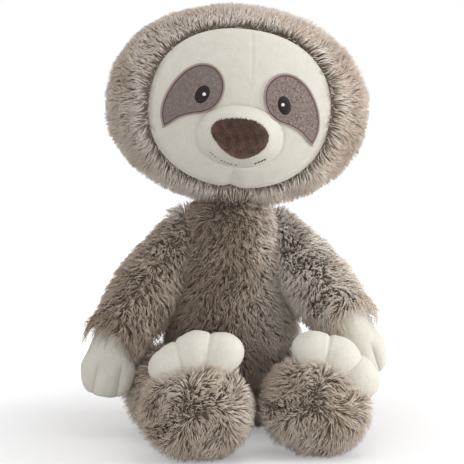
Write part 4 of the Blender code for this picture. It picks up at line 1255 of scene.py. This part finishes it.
def head_style(local):
    """From the rim's flat combed band to the matted outline, by the level of the face's oval."""
    from_rim = face_level(local[:, 0], local[:, 2]) - 1
    share = smooth_step(from_rim / RIM_BAND)
    share = np.where(local[:, 1] > 0, 1.0, share)
    lean, length, pull, stray = (rim + (outer - rim) * share for rim, outer in zip(HEAD_RIM, HEAD_OUTLINE))
    lean = lean + RIM_LAID * smooth_step(from_rim / RIM_EDGE) * (1 - share)
    corner = smooth_step(2 * (unit_rows(local / head_shape["sizes"]) @ np.array(FLAT_CORNER)) - 0.8)
    # Painted light makes the rim paler, and painted shade makes the right darker
    tone = HEAD_TONE + RIM_PAINTED_LIGHT * (1 - share) - RIGHT_PAINTED_SHADE * np.maximum(local[:, 0], 0)
    return lean, length - FLATTER * corner, pull, stray, tone


grow_pile("head", head_comb, head_style, 100, parts=3, behind=("torso",))

# The torso's pile falls down the front and outwards at the sides, in small wavy locks
TORSO_PILE = (0.46, 0.0084, 0.28, 0.5)
TORSO_TONE = 0.2
# Painted light: the torso's pile is paler to the right and at the sides
RIGHT_PAINTED_LIGHT = 17
SIDES_PAINTED_LIGHT = 8
TORSO_SPLAY = 0.55
SPLAY_REACH = 0.03


def torso_comb(local):
    """Down, and outwards with the distance from the middle."""
    side = np.clip(local[:, 0] / SPLAY_REACH, -1.0, 1.0)
    return np.stack([TORSO_SPLAY * side, 0 * side, 0 * side - 1], axis=1)


def torso_style(local):
    """The same all over, but with painted light that makes it paler to the right and at the sides."""
    return *TORSO_PILE, TORSO_TONE + RIGHT_PAINTED_LIGHT * local[:, 0] + SIDES_PAINTED_LIGHT * np.abs(local[:, 0])


grow_pile(
    "torso", torso_comb, torso_style, 200, parts=3,
    behind=("leg_left", "leg_right", "head"), under=("arm_left", "arm_right"),
)

# The limbs' pile falls towards the hands and feet and splays round the cuffs, where it hangs over the hands
LIMB_SPLAY = 0.35
ARM_PILE = (0.48, 0.0088, 0.30, 0.5)
# Painted light: the right arm and the shoulders' tops are paler
ARM_TONES_WITH_PAINTED_LIGHT = {"left": 0.66, "right": 1.2}
SHOULDER_PAINTED_LIGHT = 0.5
CUFF_TONE = 0.6
SHOULDER_EXTRA = {"left": 0.0055, "right": 0.0030}
SHOULDER_UPRIGHT = 0.2
ARM_WEIGHT = 0.6
CUFF_FROM = 0.74
CUFF_SPAN = 0.18
CUFF_EXTRA = 0.0070
CUFF_WEIGHT = 1.4
CUFF_LEAN = 0.75
CUFF_COMBED = 0.3
CUFF_HANG = {"left": (-0.85, -0.5, 0.0), "right": (0.4, -0.9, 0.0)}
CUFF_LEAST = {"left": 0.4, "right": 0.9}
LEG_PILE = (0.36, 0.0108, 0.30, 0.5, 0.5)
THIGH_EXTRA = {"left": 0.0060, "right": 0.0}


def limb_comb(local):
    """Along the limb, and a little outwards."""
    return DOWN + LIMB_SPLAY * unit_rows(local * (1, 1, 0))


def at_cuff(local):
    """From 0 along the arm to 1 at its end."""
    return smooth_step((-local[:, 2] / ARM_LENGTH - CUFF_FROM) / CUFF_SPAN)


def arm_comb(turn):
    """As on a limb, and drawn down by its weight, most so at the cuff."""
    return lambda local: limb_comb(local) + (ARM_WEIGHT + CUFF_WEIGHT * at_cuff(local))[:, None] * (DOWN @ turn)


def arm_style(side):
    """Longer and more upright at the shoulder's top, and longer at the cuff; paler with painted light on the
    right arm and the shoulder's top, and darker towards the cuff.
    """
    def style(local):
        lean, length, pull, stray = ARM_PILE
        top = smooth_step(2 * unit_rows(local) @ arm_turns[side][2] - 1)
        cuff = at_cuff(local)
        hang = np.clip(unit_rows(local * (1, 1, 0)) @ np.array(CUFF_HANG[side]), 0.0, 1.0)
        hang = CUFF_LEAST[side] + (2 - CUFF_LEAST[side]) * hang
        length = length + SHOULDER_EXTRA[side] * top + CUFF_EXTRA * cuff * hang
        # Painted light on the right arm and the shoulder's top; darker towards the cuff
        tone = ARM_TONES_WITH_PAINTED_LIGHT[side] + SHOULDER_PAINTED_LIGHT * top + CUFF_TONE * local[:, 2] / ARM_LENGTH
        lean = lean - SHOULDER_UPRIGHT * top + CUFF_LEAN * cuff
        return lean, length, pull, stray - CUFF_COMBED * cuff, tone
    return style


def leg_style(side):
    """Longer on top of the left thigh, where it closes the gap to the arm."""
    def style(local):
        lean, length, *others = LEG_PILE
        up = smooth_step(3 * unit_rows(local) @ leg_turns[side][2] - 2)
        return lean, length + THIGH_EXTRA[side] * up, *others
    return style


# The soles' pile stands up in the middle and leans outwards at the edge
FOOT_PILE = (0.4, 0.0082, 0.22, 0.45)
FOOT_TONE = 0.55
# Painted light: each sole's pile is paler towards the right
FOOT_PAINTED_LIGHT = 4
EDGE_LEAN = 0.2
UPPER_EXTRA = 0.004
SWIRL = (1.2, 0.028, 5)
HEEL_SPAN = 0.01


def foot_comb(local):
    """Out from the middle of the sole in swirls, and towards the ankle behind."""
    back = np.clip(local[:, 1:2] / HEEL_SPAN, 0.0, 1.0)
    swirl = SWIRL[0] * waves(local, *SWIRL[1:])[:, None]
    out = unit_rows(local * (1, 0, 1)) + (1e-3, 0.0, 1e-3)
    out = out * np.cos(swirl) + out[:, ::-1] * (1, 0, -1) * np.sin(swirl)
    return out * (1 - back) + back * np.array([0.0, 1.0, 0.2])


def foot_style(local):
    """Leaning more with the distance from the middle of the sole, and paler to the right with painted light."""
    lean, length, pull, stray = FOOT_PILE
    out = np.hypot(local[:, 0] / FOOT_HALF_WIDTH, local[:, 2] / FOOT_HALF_HEIGHT)
    upper = smooth_step(local[:, 2] / FOOT_HALF_HEIGHT - 0.1)
    # Painted light, paler towards the right
    tone = FOOT_TONE + FOOT_PAINTED_LIGHT * local[:, 0]
    return lean + EDGE_LEAN * smooth_step(out / 0.9), length + UPPER_EXTRA * upper, pull, stray, tone


for number, side in enumerate(SIDES):
    grow_pile(
        "arm_" + side, arm_comb(arm_turns[side]), arm_style(side), 300 + 100 * number,
        behind=("torso",), beside=("hand_" + side,),
    )
    grow_pile(
        "leg_" + side, limb_comb, leg_style(side), 500 + 100 * number,
        behind=("torso", "foot_" + side), beside=("toes_" + side,),
    )
    grow_pile(
        "foot_" + side, foot_comb, foot_style, 700 + 100 * number,
        behind=("leg_" + side,), beside=("toes_" + side, "hand_" + side),
    )

# Nose pile
# Brown fibres about 2 mm long, brushed down. The light shining red through the lower edge is painted light, as
# a paler, redder tone on the fibres there.
NOSE_PILE = 0.0017
NOSE_FIBRES_PER_MM2 = 11.0
NOSE_TUFT_SIZE = 0.0016
NOSE_TUFT_PULL = 0.15
NOSE_BRUSHED = (0.0, 0.0, -0.5)
NOSE_BEND = 0.0002
NOSE_STRAY = 0.3
NOSE_TONE = 0.45
NOSE_LOW_PAINTED_LIGHT = 0.35
NOSE_UNEVEN = (0.12, 0.006, 0.12)
NOSE_TONES = ((0.0, "#3f2c22"), (0.45, "#6c5141"), (0.8, "#8c6a55"), (1.0, "#a0684b"))
short_pile = pile_finish("brown_velour_pile", NOSE_TONES)
nose_points = nose_points.reshape(-1, 3).astype(float)
roots, normals = scattered(nose_points, nose_corners.reshape(-1, 3), NOSE_FIBRES_PER_MM2)
ahead = (normals @ head_turn)[:, 1] < -0.05
roots, normals = roots[ahead], normals[ahead]
local = unplaced(roots, head_turn, head_place)
tuft = tuft_numbers(roots, NOSE_TUFT_SIZE, 900)
wander = rng.normal(0, NOSE_STRAY, (len(roots), 3)) + np.array(NOSE_BRUSHED)
tips = roots + NOSE_PILE * unit_rows(normals + wander @ head_turn.T)
tips += (tuft_middles(tips, tuft) - tips) * NOSE_TUFT_PULL
middles = roots + 0.5 * (tips - roots) + NOSE_BEND * normals
# Painted light: the lower edge's fibres are paler and redder
painted_light_edge = smooth_step((NOSE_PLACE[1] - 0.5 * NOSE_HALF_HEIGHT - local[:, 2]) / (0.5 * NOSE_HALF_HEIGHT))
wave, wave_size, chance = NOSE_UNEVEN
tones = NOSE_TONE + NOSE_LOW_PAINTED_LIGHT * painted_light_edge + wave * waves(roots, wave_size, 901)
tones = tones + rng.normal(0, chance, len(roots))
nose_pile = fibre_piece("nose_pile", np.column_stack([roots, middles, tips, tones]), short_pile)
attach(nose_pile, "head")

low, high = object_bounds()
